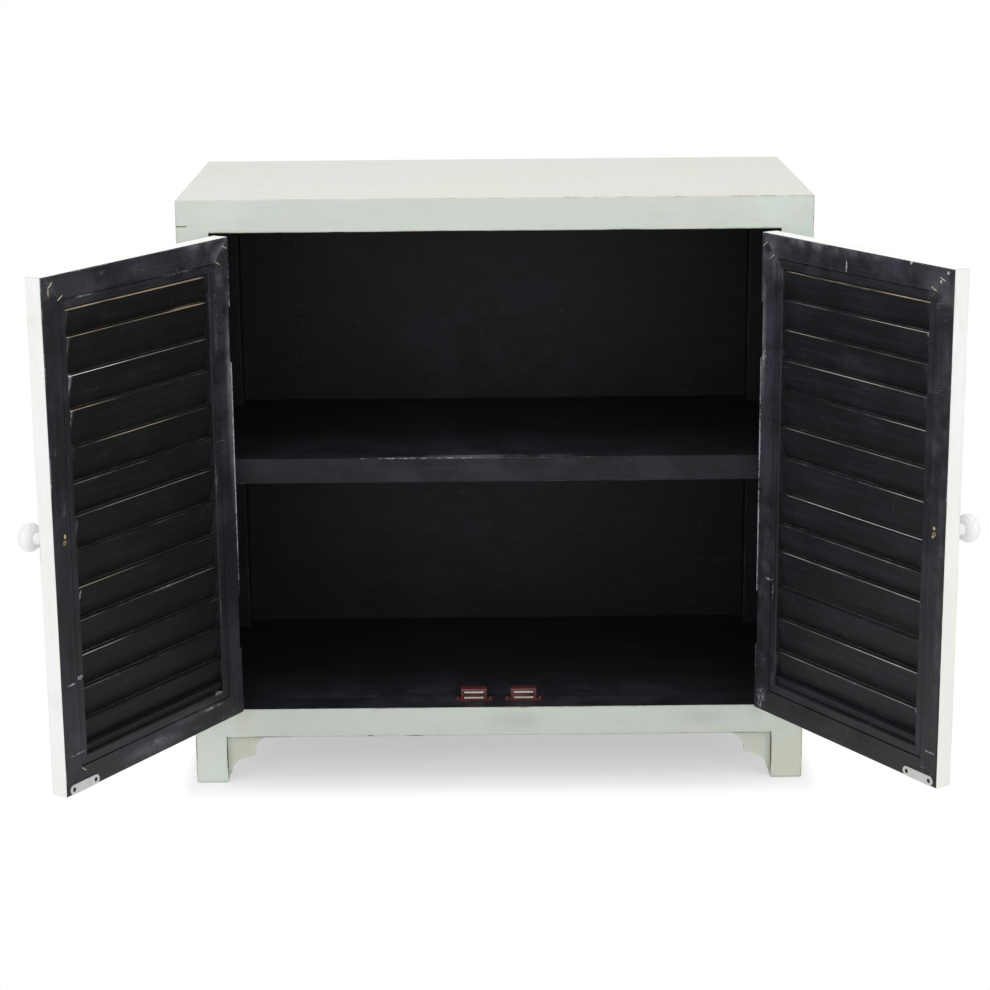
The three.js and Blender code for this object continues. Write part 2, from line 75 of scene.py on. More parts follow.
# Limits in the meshes: points that count as one, faces that count as one, edges that are sharp in wood, knobs
# and fittings, the shortest arris that is rounded, in radii of the rounding, and the widest curved face
MERGE_DISTANCE = 0.001 * MM
FLAT_ANGLE = math.radians(0.5)
WOOD_SHARP, KNOB_SHARP, FITTING_SHARP = math.radians(30), math.radians(40), math.radians(35)
SHORTEST_ARRIS = 8
CURVED_WIDTH = 6 * MM

# How much a face looks in a direction
SQUARELY, MOSTLY, CLEARLY, SLIGHTLY, BARELY = 0.9, 0.6, 0.5, 0.3, 0.2

# On a door: the band along its outer edges, a hair's breadth, and the height of a slat's upper edge
OUTER_BAND = 1 * MM
HAIR = 0.1 * MM
SLAT_EDGE_HEIGHT = 3 * MM

# Wear along the arrises, by the distance from them: grime, the brown line of the paint, the pale line of the
# slats, and how far the rubbing reaches at least and beyond that
GRIME_REACH = 5 * MM
BROWN_LINE = (1.2 * MM, 0.4 * MM)
PALE_LINE = (0.85 * MM, 0.4 * MM)
RUBBED_LEAST, RUBBED_PAINT, RUBBED_STAIN = 0.4 * MM, 1.6 * MM, 1.8 * MM

# How rubbed, how shiny and how grainy each stained wood is
STAINED = {
    "case": (0.3, 0.14, 0.16),
    "frame": (0.9, 0.25, 0.35),
    "left_slat": (0.2, 0.05, 0.15),
    "right_slat": (0.35, 0.08, 0.3),
}

# Depth of the relief of each finish
PAINT_RELIEF, STAIN_RELIEF = 0.25 * MM, 0.3 * MM
KNOB_RELIEF, METAL_RELIEF, PLASTIC_RELIEF = 0.08 * MM, 0.05 * MM, 0.06 * MM

# The soft boxes: where each stands, its size, and the setting of its power. All point at the cabinet.
CABINET_MIDDLE = Vector((0, 0.1, 0.45))
SOFT_BOXES = {
    "overhead": ((0, -0.3, 2.9), (2.6, 2.0), "overhead"),
    "front_left": ((-2.3, -2.9, 1.7), (1.6, 1.8), "front"),
    "front_right": ((2.3, -2.9, 1.7), (1.6, 1.8), "front"),
}

# The white card of the floor: how far it reaches in metres, how white it is at least, and how much it varies
FLOOR_REACH = 30
CARD_WHITE = 0.93
CARD_MOTTLE = 0.004

# The floor's own white comes back three times as soon beside the case as in front of it
GLOW_STRETCH = (3, 1, 0)

# The camera: the width of its sensor in millimetres, and how far it sees in metres
SENSOR_WIDTH = 36
FARTHEST_SEEN = 100

# How each board of the case lies: the way of its grain, the way across it, and the sides on which it is
# joined to a neighbour, so that no arris shows there.
CASE_BOARDS = {
    "top_board": ("X", "Y", "-Z"),
    "top_front_rail": ("X", "Z", "+Z -X +X +Y"),
    "bottom_front_rail": ("X", "Z", "-X +X +Y"),
    **{f"{side}_{end}_post": ("Z", "X", "+Z") for end in ("front", "rear") for side in SIDES},
    **{f"{side}_side_panel": ("Z", "Y", ALL_SIDES) for side in SIDES},
    "left_bracket": ("X", "Z", "+Z -X +Y"),
    "right_bracket": ("X", "Z", "+Z +X +Y"),
    "back_panel": ("X", "Z", ALL_SIDES),
    "floor_board": ("X", "Y", ALL_SIDES),
    "shelf": ("X", "Y", "+X -X +Y"),
}

# How the four members of a door frame lie in the door: grain, across, joined sides
DOOR_MEMBERS = {
    "hinge_stile": ("Z", "X", "+Z -Z"),
    "lock_stile": ("Z", "X", "+Z -Z -X"),
    "top_rail": ("X", "Z", "+X -X"),
    "bottom_rail": ("X", "Z", "+X -X"),
}

# The upper edge of each slat, from the top one down: how bare it is, how white the bare part is, and where
# along the slat it is barest, from -1 at the hinged end to 1 at the free end, or 2 for nowhere
SLAT_EDGES = {
    "left": (
        (0.9, 0.3, -0.3), (0.5, 0.1, -0.8), (0.42, 0.9, 0.7), (0.22, 0.0, 0.9), (0.26, 0.2, 0.1),
        (0.26, 0.5, 2.0), (0.34, 0.8, 2.0), (0.22, 0.5, 2.0), (0.2, 0.2, 0.9), (0.34, 0.8, 2.0),
        (0.12, 0.9, 0.8), (0.0, 0.7, 1.0), (0.16, 0.6, 2.0),
    ),
    "right": (
        (0.85, 0.3, 2.0), (0.3, 0.4, 0.8), (0.26, 0.3, -0.85), (0.3, 0.5, -0.1), (0.24, 0.5, 0.9),
        (0.4, 0.8, 2.0), (0.22, 0.5, 0.9), (0.0, 0.5, 2.0), (0.32, 0.7, 2.0), (0.42, 0.9, 2.0),
        (0.16, 0.5, 2.0), (0.36, 0.5, 0.5), (0.36, 0.8, 2.0),
    ),
}
LAST_SLAT_EDGE = (0.1, 0.5, 2.0)

# Kinds of marks: the setting that colours them, and whether they are scratched rather than soft
MARK_KINDS = {
    "lighter": ("sage_lighter", False),
    "yellowed": ("sage_yellowed", False),
    "cream": ("chalk_aged", False),
    "smudge": ("smudge", False),
    "deep": ("stain_deep", False),
    "pale": ("stain_pale", False),
    "hazy": ("scuff_and_sheen", False),
    "crack": ("crack", True),
    "bare": ("bare_wood", True),
    "scuff_and_sheen": ("scuff_and_sheen", True),
}

# Marks by kind, in millimetres: the middle, the half sizes and the strength. Most are what years of use have
# left; the patches inside the case are painted light, and the deep marks on the doors' bottom rails are
# painted shade.
# Those of the case are places in the whole model.
CASE_MARKS = {
    # The left front leg is made lighter.
    "lighter": ((-428, -51, 20, 80, 5, 90, 0.5),),
    "yellowed": (
        (426, -51, 30, 60, 5, 60, 0.45), (-373, -40, 42, 60, 6, 60, 0.6), (370, -40, 42, 60, 6, 60, 0.5),
        (-374, -50, 92, 16, 4, 30, 0.4),
    ),
    "smudge": ((25, -50, 95, 50, 4, 18, 0.4), (300, -50, 98, 40, 4, 16, 0.3)),
    "crack": (
        (-444, -50, 833, 13, 4, 1, 1.2), (-224, -50, 823, 18, 4, 1.6, 1.0), (-75, -50, 823, 85, 4, 1.6, 0.95),
        (182, -50, 823, 35, 4, 1.6, 1.0), (315, -50, 823, 30, 4, 1.6, 0.8), (-192, -50, 71, 9, 4, 2.8, 1.1),
        (-126, -50, 71, 18, 4, 2.6, 1.0), (365, -50, 71, 45, 4, 2.2, 0.9), (-349, -50, 71, 55, 4, 2.3, 0.95),
        (-404.5, -50, 42, 1.4, 6, 42, 0.9), (-451, -50, 50, 1.8, 6, 40, 1.0), (402, -50, 42, 2, 6, 42, 1.1),
        (449, -50, 60, 1.5, 6, 60, 0.7),
    ),
    "bare": ((-360, -50, 823, 25, 4, 1.3, 0.9), (0, -50, 870, 450, 5, 1.4, 0.6)),
}
# Inside the case these patches are painted light: the brighter clouds high on the back panel, the lit front
# face of the shelf and the front of its top, the lit front of the floor, and a painted highlight along the
# shelf's front arris, which the hazy and scuff entries draw.
INSIDE_PAINTED_LIGHT = {
    "pale": (
        (10, 402, 620, 270, 20, 200, 0.34), (-40, 402, 310, 270, 20, 150, 0.3),
        (0, -13, 467, 700, 4, 60, 0.24), (0, -10, 115, 480, 120, 4, 0.5), (-60, 10, 486, 420, 150, 5, 0.35),
    ),
    "hazy": ((-20, -4, 486, 150, 9, 4, 0.36),),
    "scuff_and_sheen": ((-85, -13, 486, 170, 6, 2, 0.7),),
}

# Those of a door are places in the closed door, from the hinged edge and from the lower edge. They reach
# through its whole depth.
DOOR_MARK_DEPTH = (13, 60)
DOOR_MARKS = {
    "left": {
        # The first deep mark darkens the bottom rail: painted shade, laid over the light on its chamfer.
        "deep": ((160, 22, 170, 28, 1.0), (378, 190, 24, 190, 0.6), (20, 360, 26, 60, 0.5)),
        "pale": (
            (18, 580, 24, 210, 0.85), (15, 140, 24, 110, 0.35), (35, 560, 6, 130, 0.7),
            (60, 690, 110, 24, 0.9), (105, 690, 40, 18, 0.3), (205, 22, 110, 22, 0.55),
            (240, 684, 120, 22, 0.6), (378, 70, 26, 85, 0.55),
        ),
        "hazy": (
            (348, 560, 5, 100, 0.32), (348, 350, 5, 22, 0.35), (50, 702, 75, 9, 0.3), (20, 672, 34, 50, 0.28),
            (388, 682, 18, 28, 0.1), (215, 12, 80, 14, 0.18), (120, 32, 60, 10, 0.2), (6, 520, 9, 200, 0.3),
        ),
        "bare": ((378, 357, 2.5, 4, 1.0), (386, 682, 1.6, 7, 0.9)),
        "scuff_and_sheen": (
            (205, 14, 60, 10, 0.56), (58, 45, 13, 3.4, 0.66), (75, 29, 32, 2.5, 0.7), (361, 158, 9, 5, 0.72),
            (378, 153, 16, 1.6, 0.66), (375, 54, 28, 1.5, 0.66), (1, 420, 4, 300, 0.85),
            (8, 690, 12, 14, 0.55), (348, 560, 3, 90, 0.7), (348, 348, 3, 12, 0.7), (347, 268, 3, 12, 0.75),
            (34, 600, 4, 80, 0.45), (120, 669, 60, 2, 0.6), (318, 668, 34, 1.6, 0.66), (168, 233, 55, 3, 0.5),
        ),
    },
    "right": {
        # The deep mark darkens the bottom rail: painted shade, laid over the light on its chamfer.
        "deep": ((185, 22, 170, 28, 1.0),),
        "pale": (
            (18, 520, 24, 260, 1.0), (16, 190, 24, 190, 0.95), (349, 560, 6, 120, 0.6),
            (35, 250, 6, 220, 0.6), (120, 688, 130, 26, 1.0), (375, 400, 26, 300, 0.4),
            (290, 684, 120, 24, 0.95), (200, 545, 50, 20, 0.5),
        ),
        "hazy": (
            (392, 330, 10, 330, 0.12), (24, 675, 46, 44, 0.2), (18, 260, 20, 110, 0.08),
            (378, 668, 34, 46, 0.13), (380, 500, 20, 110, 0.06), (130, 702, 160, 10, 0.4),
            (5, 560, 8, 130, 0.3),
        ),
        "bare": ((378, 357, 4, 3, 1.0), (376, 345, 3, 2.5, 0.9)),
        "scuff_and_sheen": (
            (185, 680, 2, 13, 0.85), (385, 47, 15, 2, 0.75), (29, 203, 12, 3, 0.7), (38, 185, 1.6, 22, 0.7),
            (10, 530, 8, 24, 0.6), (350, 618, 2.5, 28, 0.72), (352, 98, 2.5, 42, 0.72), (316, 703, 3, 6, 1.0),
            (215, 28, 2, 9, 0.5), (372, 25, 5, 9, 0.52), (1, 330, 4, 340, 0.8), (14, 20, 16, 26, 0.6),
            (388, 697, 3, 3, 1.1), (375, 684, 3, 3, 1.0),
        ),
    },
}
FREE_EDGE_MARKS = {"cream": ((400, 13, 90, 12, 60, 300, 1.4),)}

# Screws of a hinge leaf, in millimetres: distance from the hinge's axis, and height above the leaf's end
HINGE_SCREWS = ((12.4, 12), (17.6, 40), (12.4, 68))

# The face of a hinge leaf from the hinge's axis, the screws of a plate and of a catch from its middle, where
# they lie in the ears of the catch, and the depth of the catch's pole pieces
LEAF_FACE = 0.8 * MM
PLATE_SCREWS = 22.5 * MM
CATCH_SCREWS = 24 * MM
CATCH_EAR = Vector((0, 0.65, 3)) * MM
POLE_DEPTH = 1.25 * MM

# Screw heads, in millimetres: how high they are, how far they stand proud, and the lower radius as a share of
# the upper one
SCREW_HEADS = {
    "hinge": (1.3, 0.2, 0.8),
    "plate": (1.3, -0.3, 0.5),
    "knob": (1.3, 0.2, 0.8),
    "catch": (1.7, 1.6, 1.3),
}
SCREW_SIDES = 28

# The bars of the cross recess, as shares of the head: long, wide and deep
RECESS = (1.15, 0.26, 1.1)
SCREW_SEED = 7
SLAT_SEED = 40

# The turned knobs: the facets round them, the steps between two packed rings, and how far they stay within
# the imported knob
KNOB_STEPS = 64
RING_STEPS = (0.0, 0.25, 0.5, 0.75)
KNOB_SHARE = 0.999

# Staples across the mitres of the doors: millimetres from the hinged edge and from the lower edge, and the
# degrees by which they rise towards the free edge
STAPLES = {
    "left": ((8, 689, 23), (26, 669, 24), (382, 691, -39), (364, 672, -30), (363, 29, 37)),
    "right": ((7, 687, 37), (23, 671, 36), (378, 688, -22), (362, 673, -23)),
}

# The crown of a staple by its ends and middle: how far along, in spans, and how high, in radii of the wire
STAPLE_CROWN = ((-0.5, -1.6), (0.0, 0.5), (0.5, -1.6))
CROWN_STEPS = 13
WIRE_SIDES = 8


def colour(name, red, green, blue, description):
    """A colour setting, given as display values from 0 to 255."""
    linear = [((v / 255 + 0.055) / 1.055) ** 2.4 if v > 10 else v / 255 / 12.92 for v in (red, green, blue)]
    return bpy.props.FloatVectorProperty(
        name=name, description=description, default=(*linear, 1.0), size=4, subtype="COLOR", min=0.0, max=1.0
    )


def length(name, millimetres, description):
    """A length setting in metres."""
    return bpy.props.FloatProperty(
        name=name, description=description, default=millimetres * MM, min=0.0,
        subtype="DISTANCE", unit="LENGTH"
    )


def angle(name, default, description):
    """An angle setting."""
    return bpy.props.FloatProperty(
        name=name, description=description, default=default, subtype="ANGLE", unit="ROTATION"
    )


def power(name, watts, description):
    """The power of a lamp."""
    return bpy.props.FloatProperty(name=name, description=description, default=watts, min=0.0, unit="POWER")


def share(name, default, description):
    """A setting that runs from nothing to all."""
    return bpy.props.FloatProperty(
        name=name, description=description, default=default, min=0.0, max=1.0, subtype="FACTOR"
    )


class CabinetFinishes(bpy.types.PropertyGroup):
    """Colours and wear of the cabinet"""

    sage: colour("Sage paint", 199, 209, 200, "Paint on the outside of the case")
    sage_aged: colour("Aged sage", 211, 211, 204, "Paint of the case where it has aged")
    # Lighter sage, laid on the left front leg.
    sage_lighter: colour("Faded sage", 224, 234, 225, "Paint of the case where it has faded")
    sage_yellowed: colour("Yellowed sage", 206, 203, 176, "Paint of the case where it has yellowed")
    smudge: colour("Smudges", 160, 168, 164, "Rubbed dirt on the paint of the case")
    crack: colour("Cracks", 96, 84, 58, "Brown line of worn or cracked paint")
    chalk: colour("Chalk paint", 245, 245, 245, "Paint on the outside and the edges of the doors")
    chalk_aged: colour("Aged chalk", 234, 235, 228, "Paint of the doors where it has yellowed")
    knob_white: colour("Knob paint", 241, 241, 242, "Glossy paint of the knobs")
    stain: colour("Black stain", 30, 30, 33, "Stain inside the case and the doors")
    stain_slats: colour("Duller stain", 26, 26, 26, "Stain of the slats of the left door")
    # Deep stain; on the doors' bottom rails the same colour is painted shade.
    stain_deep: colour("Deep stain", 13, 13, 14, "Stain that has kept its full darkness")
    # Rubbed stain; inside the case the same colour is painted light.
    stain_pale: colour("Rubbed stain", 60, 61, 71, "Stain where it has been rubbed")
    # Scuffs; along the shelf's front arris the same colour is a painted highlight.
    scuff_and_sheen: colour("Scuffs", 172, 172, 180, "Scratches and rubbed arrises of the stained wood")
    bare_wood: colour("Bare wood", 196, 172, 132, "Wood where no finish is left")
    grime: colour("Grime", 128, 112, 78, "Brown line in the worn arrises of the paint")
    plastic: colour("Catch plastic", 98, 43, 41, "Moulded bodies of the magnetic catches")
    zinc: colour("Zinc", 206, 209, 206, "Strike plates and pole pieces")
    steel: colour("Dark steel", 74, 68, 62, "Hinges and their screws")
    brass: colour("Brass", 176, 150, 104, "Screws of the knobs")
    wire: colour("Wire", 214, 202, 172, "Wire of the staples")
    wear: share("Wear", 0.55, "How much of the arrises is rubbed through")


class CabinetFittings(bpy.types.PropertyGroup):
    """Sizes of the small fittings"""

    arris: length("Arris radius", 0.7, "Rounding of the sharp edges of the wood")
    paint_depth: length("Paint depth", 9, "How far the outside paint reaches into the louvred openings")
    bare_band: length("Bare band", 3, "Height of the bare wood under the top rails")
    hinge_screw: length("Hinge screw head", 2.9, "Radius of the countersunk heads in the hinges")
    plate_screw: length("Plate screw head", 3.3, "Radius of the heads in the strike plates")
    catch_screw: length("Catch screw head", 3.1, "Radius of the round heads on the catches")
    knob_screw: length("Knob screw head", 3.3, "Radius of the heads on the inside of the doors")
    staple_span: length("Staple span", 14, "Width of the staples across the mitres")
    staple_wire: length("Staple wire", 0.55, "Radius of the wire of the staples")


class CabinetStudio(bpy.types.PropertyGroup):
    """Camera and light"""

    lens: bpy.props.FloatProperty(name="Lens", description="Focal length", default=91.645, unit="CAMERA")
    camera_place: bpy.props.FloatVectorProperty(
        name="Camera place", description="Where the camera stands", default=(-0.020262, -3.584591, 1.34184),
        subtype="TRANSLATION", unit="LENGTH"
    )
    yaw: angle("Yaw", 0.00451, "Turn of the camera to the right")
    pitch: angle("Pitch", 0.250154, "Tilt of the camera downwards")
    roll: angle("Roll", -0.008408, "Roll of the camera")
    sky: bpy.props.FloatProperty(name="Sky", description="Strength of the even light", default=0.72, min=0.0)
    overhead: power("Overhead light", 22.5, "Power of the soft box above")
    front: power("Front lights", 20.9, "Power of each soft box in front")
    floor_glow: share("Floor glow", 0.5, "How much of the floor's white comes from itself under the case")
    glow_reach: length("Glow reach", 75, "Distance from the case at which the floor is plain white")


class Link:
    """A socket that can be used in sums."""

    def __init__(self, graph, socket):
        self.graph = graph
        self.socket = socket

    def __add__(self, other):
        return self.graph.maths("ADD", self, other)

    def __sub__(self, other):
        return self.graph.maths("SUBTRACT", self, other)

    def __rsub__(self, other):
        return self.graph.maths("SUBTRACT", other, self)

    def __mul__(self, other):
        return self.graph.maths("MULTIPLY", self, other)

    def __truediv__(self, other):
        return self.graph.maths("DIVIDE", self, other)

    def __rtruediv__(self, other):
        return self.graph.maths("DIVIDE", other, self)

    def __abs__(self):
        return self.graph.maths("ABSOLUTE", self)

    __radd__ = __add__
    __rmul__ = __mul__


class Graph:
    """Adds nodes to one node tree."""

    def __init__(self, tree):
        self.tree = tree

    def add(self, kind, settings=None, sockets=None, output=0):
        """Adds a node: its settings first, then the values and links of its sockets."""
        node = self.tree.nodes.new(kind)
        for key, value in (settings or {}).items():
            setattr(node, key, value)
        for key, value in (sockets or {}).items():
            if isinstance(value, Link):
                self.tree.links.new(value.socket, node.inputs[key])
            else:
                node.inputs[key].default_value = value
        return Link(self, node.outputs[output]) if len(node.outputs) else None

    def maths(self, operation, first, second=0.0):
        """A sum of two values."""
        return self.add("ShaderNodeMath", {"operation": operation}, {0: first, 1: second})

    def vector(self, operation, first, second=(0.0, 0.0, 0.0)):
        """A sum of two vectors."""
        return self.add("ShaderNodeVectorMath", {"operation": operation}, {0: first, 1: second})

    def step(self, value, low, high):
        """0 below low, 1 above high and smooth between; the other way round where low is above high."""
        start, end, low, high = (0.0, 1.0, low, high) if low < high else (1.0, 0.0, high, low)
        return self.add(
            "ShaderNodeMapRange",
            {"interpolation_type": "SMOOTHSTEP"},
            {"Value": value, "From Min": low, "From Max": high, "To Min": start, "To Max": end},
        )

    def mix(self, factor, first, second):
        """A colour between two colours."""
        sockets = {0: factor, 6: first, 7: second}
        return self.add("ShaderNodeMix", {"data_type": "RGBA"}, sockets, output=2)

    def size(self, vector):
        """The length of a vector."""
        return self.add("ShaderNodeVectorMath", {"operation": "LENGTH"}, {0: vector}, output="Value")

    def split(self, vector):
        """The three parts of a vector."""
        parts = self.add("ShaderNodeSeparateXYZ", {}, {0: vector})
        return [Link(self, socket) for socket in parts.socket.node.outputs]

    def join(self, x=0.0, y=0.0, z=0.0):
        """A vector of three parts."""
        return self.add("ShaderNodeCombineXYZ", {}, {0: x, 1: y, 2: z})

    def attribute(self, name, output="Vector"):
        """What a piece stores under a name."""
        return self.add("ShaderNodeAttribute", {"attribute_name": name}, output=output)

    def object_place(self):
        """The place in the piece's own axes."""
        return self.add("ShaderNodeTexCoord", {}, output="Object")

    def noise(self, place, scale, detail=3.0, roughness=0.55, stretch=None):
        """Soft noise from 0 to 1 over a place, stretched along its axes if asked."""
        if stretch:
            place = self.vector("MULTIPLY", place, stretch)
        sockets = {"Vector": place, "Scale": scale, "Detail": detail, "Roughness": roughness}
        return self.add("ShaderNodeTexNoise", {}, sockets)


def new_finish(name):
    """A material with an empty tree, and the graph that fills it."""
    material = bpy.data.materials.new(name)
    material.use_nodes = True
    material.node_tree.nodes.clear()
    return material, Graph(material.node_tree)


def close_finish(graph, base, roughness, bump, bump_depth, metallic=0.0, coat=0.0, specular=0.5):
    """Ends a material in one shader."""
    sockets = {
        "Normal": graph.add(
            "ShaderNodeBump", {}, {"Strength": 0.6, "Distance": bump_depth, "Height": bump}
        ),
        "Base Color": base,
        "Roughness": roughness,
        "Metallic": metallic,
        "Coat Weight": coat,
        "Coat Roughness": 0.12,
        "Specular IOR Level": specular,
    }
    shader = graph.add("ShaderNodeBsdfPrincipled", {}, sockets)
    graph.add("ShaderNodeOutputMaterial", {}, {"Surface": shader})


def timber_places(graph):
    """The place on a board for its noise, and the distance to the nearest arris that lies free."""
    place = graph.attribute("place")
    half = graph.attribute("half")
    shift = graph.attribute("shift")
    inset = graph.vector("SUBTRACT", half, graph.vector("ABSOLUTE", place))
    x, y, z = graph.split(inset)
    low = graph.maths("MINIMUM", x, y)
    high = graph.maths("MAXIMUM", x, y)
    arris = graph.maths("MAXIMUM", low, graph.maths("MINIMUM", high, z))
    flush = graph.attribute("flush", "Fac")
    return graph.vector("ADD", place, shift), arris + flush


def add_marks(graph, base, marks, softly, streaks, settings):
    """Lays marks over a base colour, kind by kind: soft patches, and scratches broken up by streaks."""
    spot = graph.attribute("mark_place")
    for kind, (tint, scratched) in MARK_KINDS.items():
        mask = None
        for *sizes, strength in (marks or {}).get(kind, ()):
            away = graph.vector("SUBTRACT", spot, [v * MM for v in sizes[:3]])
            distance = graph.size(graph.vector("DIVIDE", away, [v * MM for v in sizes[3:]]))
            cover = graph.step(distance, 1.3, 0.45 if scratched else -0.1) * strength
            mask = graph.maths("MAXIMUM", mask, cover) if mask else cover
        if mask:
            mask = graph.step(mask + (streaks - 0.5) * 2.6, 0.52, 0.95) if scratched else mask * softly
            base = graph.mix(mask, base, getattr(settings, tint))
    return base


def painted_timber(name, fresh, aged, settings, ageing=0.35, marks=None):
    """Brushed paint, mottled, and rubbed to a brown line along the arrises."""
    material, graph = new_finish(name)
    noise, step, mix = graph.noise, graph.step, graph.mix
    spot, arris = timber_places(graph)
    cloud = noise(spot, 6.0, 3.0)
    blotch = noise(spot, 26.0, 4.0)
    brush = noise(spot, 1.0, 4.0, stretch=(9.0, 240.0, 240.0))
    chips = noise(spot, 150.0, 5.0, 0.7)
    patches = noise(spot, 14.0, 2.0)
    base = mix(step(cloud, 0.35, 0.7) * 0.4 + (ageing - 0.2), fresh, aged)
    base = mix(step(blotch, 0.52, 0.8) * 0.09, base, settings.grime)
    base = mix(step(brush, 0.35, 0.75) * 0.04, base, settings.grime)
    glaze = step(arris, GRIME_REACH, 0.0) * step(patches, 0.35, 0.65) * 0.14
    base = mix(glaze, base, settings.grime)
    line = step(arris, *BROWN_LINE) * step(chips, 0.3, 0.5)
    base = mix(line * (settings.wear * 0.6), base, settings.grime)
    base = add_marks(graph, base, marks, 1.0, brush * 0.5 + chips * 0.5, settings)
    reach = step(patches, 0.35, 0.75) * RUBBED_PAINT + RUBBED_LEAST
    rubbed = step(arris / reach, 1.0, 0.55) * step(chips, 0.4, 0.55)
    base = mix(rubbed * (settings.wear * 1.2), base, settings.grime)
    bare = step(arris / reach, 0.7, 0.3) * step(chips, 0.56, 0.66)
    base = mix(bare * settings.wear, base, settings.bare_wood)
    height = brush * 0.6 + blotch * 0.4 - rubbed * 0.6
    roughness = step(cloud, 0.3, 0.8) * 0.12 + 0.46 + rubbed * 0.2
    close_finish(graph, base, roughness, height, PAINT_RELIEF, specular=0.25)
    return material


def stained_timber(name, stain, settings, rubbed_share, shine, grain_share, marks):
    """Black stained wood: faint grain, paler clouds, scratches, and whitish worn arrises. The upper edges of
    the slats are bare wood in places."""
    material, graph = new_finish(name)
    noise, step, mix = graph.noise, graph.step, graph.mix
    spot, arris = timber_places(graph)
    grain = noise(spot, 1.0, 5.0, 0.6, stretch=(7.0, 260.0, 260.0))
    cloud = noise(spot, 13.0, 5.0, 0.6)
    smear = noise(spot, 1.0, 4.0, 0.6, stretch=(16.0, 70.0, 70.0))
    chips = noise(spot, 260.0, 4.0, 0.7)
    patches = noise(spot, 17.0, 2.0)
    base = mix(step(grain, 0.42, 0.75) * grain_share, stain, settings.stain_pale)
    base = mix(step(cloud, 0.45, 0.68) * rubbed_share * 0.4, base, settings.stain_pale)
    scuffed = step(smear, 0.62, 0.78) * step(chips, 0.4, 0.7) * rubbed_share * 0.3
    base = mix(scuffed, base, settings.scuff_and_sheen)
    for turn, stretch in ((0.5, (420.0, 9.0, 9.0)), (0.9, (24.0, 330.0, 330.0))):
        line = noise(spot, 1.0, 1.0, 0.5, stretch=stretch)
        thin = step(abs(line - turn * 0.5 - 0.15), 0.006, 0.001)
        scratch = thin * step(noise(spot, 21.0 + turn, 3.0), 0.6, 0.68) * rubbed_share
        base = mix(scratch * 0.7, base, settings.scuff_and_sheen)
    reach = step(patches, 0.35, 0.75) * RUBBED_STAIN + RUBBED_LEAST
    worn = step(arris / reach, 1.0, 0.4) * step(chips, 0.42, 0.6)
    worn = worn * step(patches, 0.5, 0.68) * rubbed_share
    base = mix(worn * (settings.wear * 1.2), base, settings.scuff_and_sheen)
    blotch = noise(spot, 48.0, 5.0, 0.65)
    softly = step(cloud, 0.4, 0.62) * 0.8 + step(blotch, 0.42, 0.66) * 0.6 + grain * 0.3
    base = add_marks(graph, base, marks, softly, smear * 0.4 + chips * 0.6, settings)
    edge = graph.attribute("upper_edge", "Fac")
    bareness, whiteness, barest = graph.split(graph.attribute("edge_look"))
    along = graph.attribute("along", "Fac")
    bareness = bareness + step(abs(along - barest), 0.75, 0.1) * 0.35
    edge = edge * step(along, -0.98, -0.86)
    streak = noise(spot, 1.0, 4.0, 0.65, stretch=(11.0, 300.0, 300.0))
    wood = mix(whiteness, settings.bare_wood, settings.chalk)
    shown = step(streak + bareness, 1.2, 1.45) * edge * step(whiteness, 0.55, 0.35)
    base = mix(shown * 0.8, base, mix(streak, settings.grime, wood))
    line = step(arris, *PALE_LINE) * edge * step(streak + bareness, 0.68, 1.15)
    base = mix(line * (bareness * 0.6 + 0.35), base, wood)
    height = grain * 0.7 + chips * 0.15 - worn * 0.3
    roughness = step(cloud, 0.3, 0.8) * 0.16 + 0.4 + worn * 0.2
    close_finish(graph, base, roughness, height, STAIN_RELIEF, specular=shine)
    return material


def smooth_finish(name, tint, dull, patches, tinted, roughened, fine, relief, **ending):
    """A finish without wood grain: patches of a duller tint and another roughness, and fine relief. Tinted
    and roughened say between which values the patches fade in, and how much. Roughened ends with the least
    roughness."""
    material, graph = new_finish(name)
    spot = graph.object_place()
    cloud = graph.noise(spot, *patches)
    low, high, share = tinted
    base = graph.mix(graph.step(cloud, low, high) * share, tint, dull)
    low, high, share, least = roughened
    roughness = graph.step(cloud, low, high) * share + least
    close_finish(graph, base, roughness, graph.noise(spot, fine, 2.0), relief, **ending)
    return material


def plain_metal(name, tint, rough, settings, tarnish=0.3, metallic=1.0):
    """Metal with a fine brushed grain and dull patches."""
    return smooth_finish(
        name, tint, settings.steel, (90.0, 4.0), (0.45, 0.7, tarnish), (0.3, 0.75, 0.2, rough), 1500.0,
        METAL_RELIEF, metallic=metallic
    )


def door_marks(side):
    """The marks of a door in its own axes, through its whole thickness."""
    y, half_y = DOOR_MARK_DEPTH
    return {
        kind: [(x, y, z, half_x, half_y, half_z, strength) for x, z, half_x, half_z, strength in marks]
        for kind, marks in DOOR_MARKS[side].items()
    }


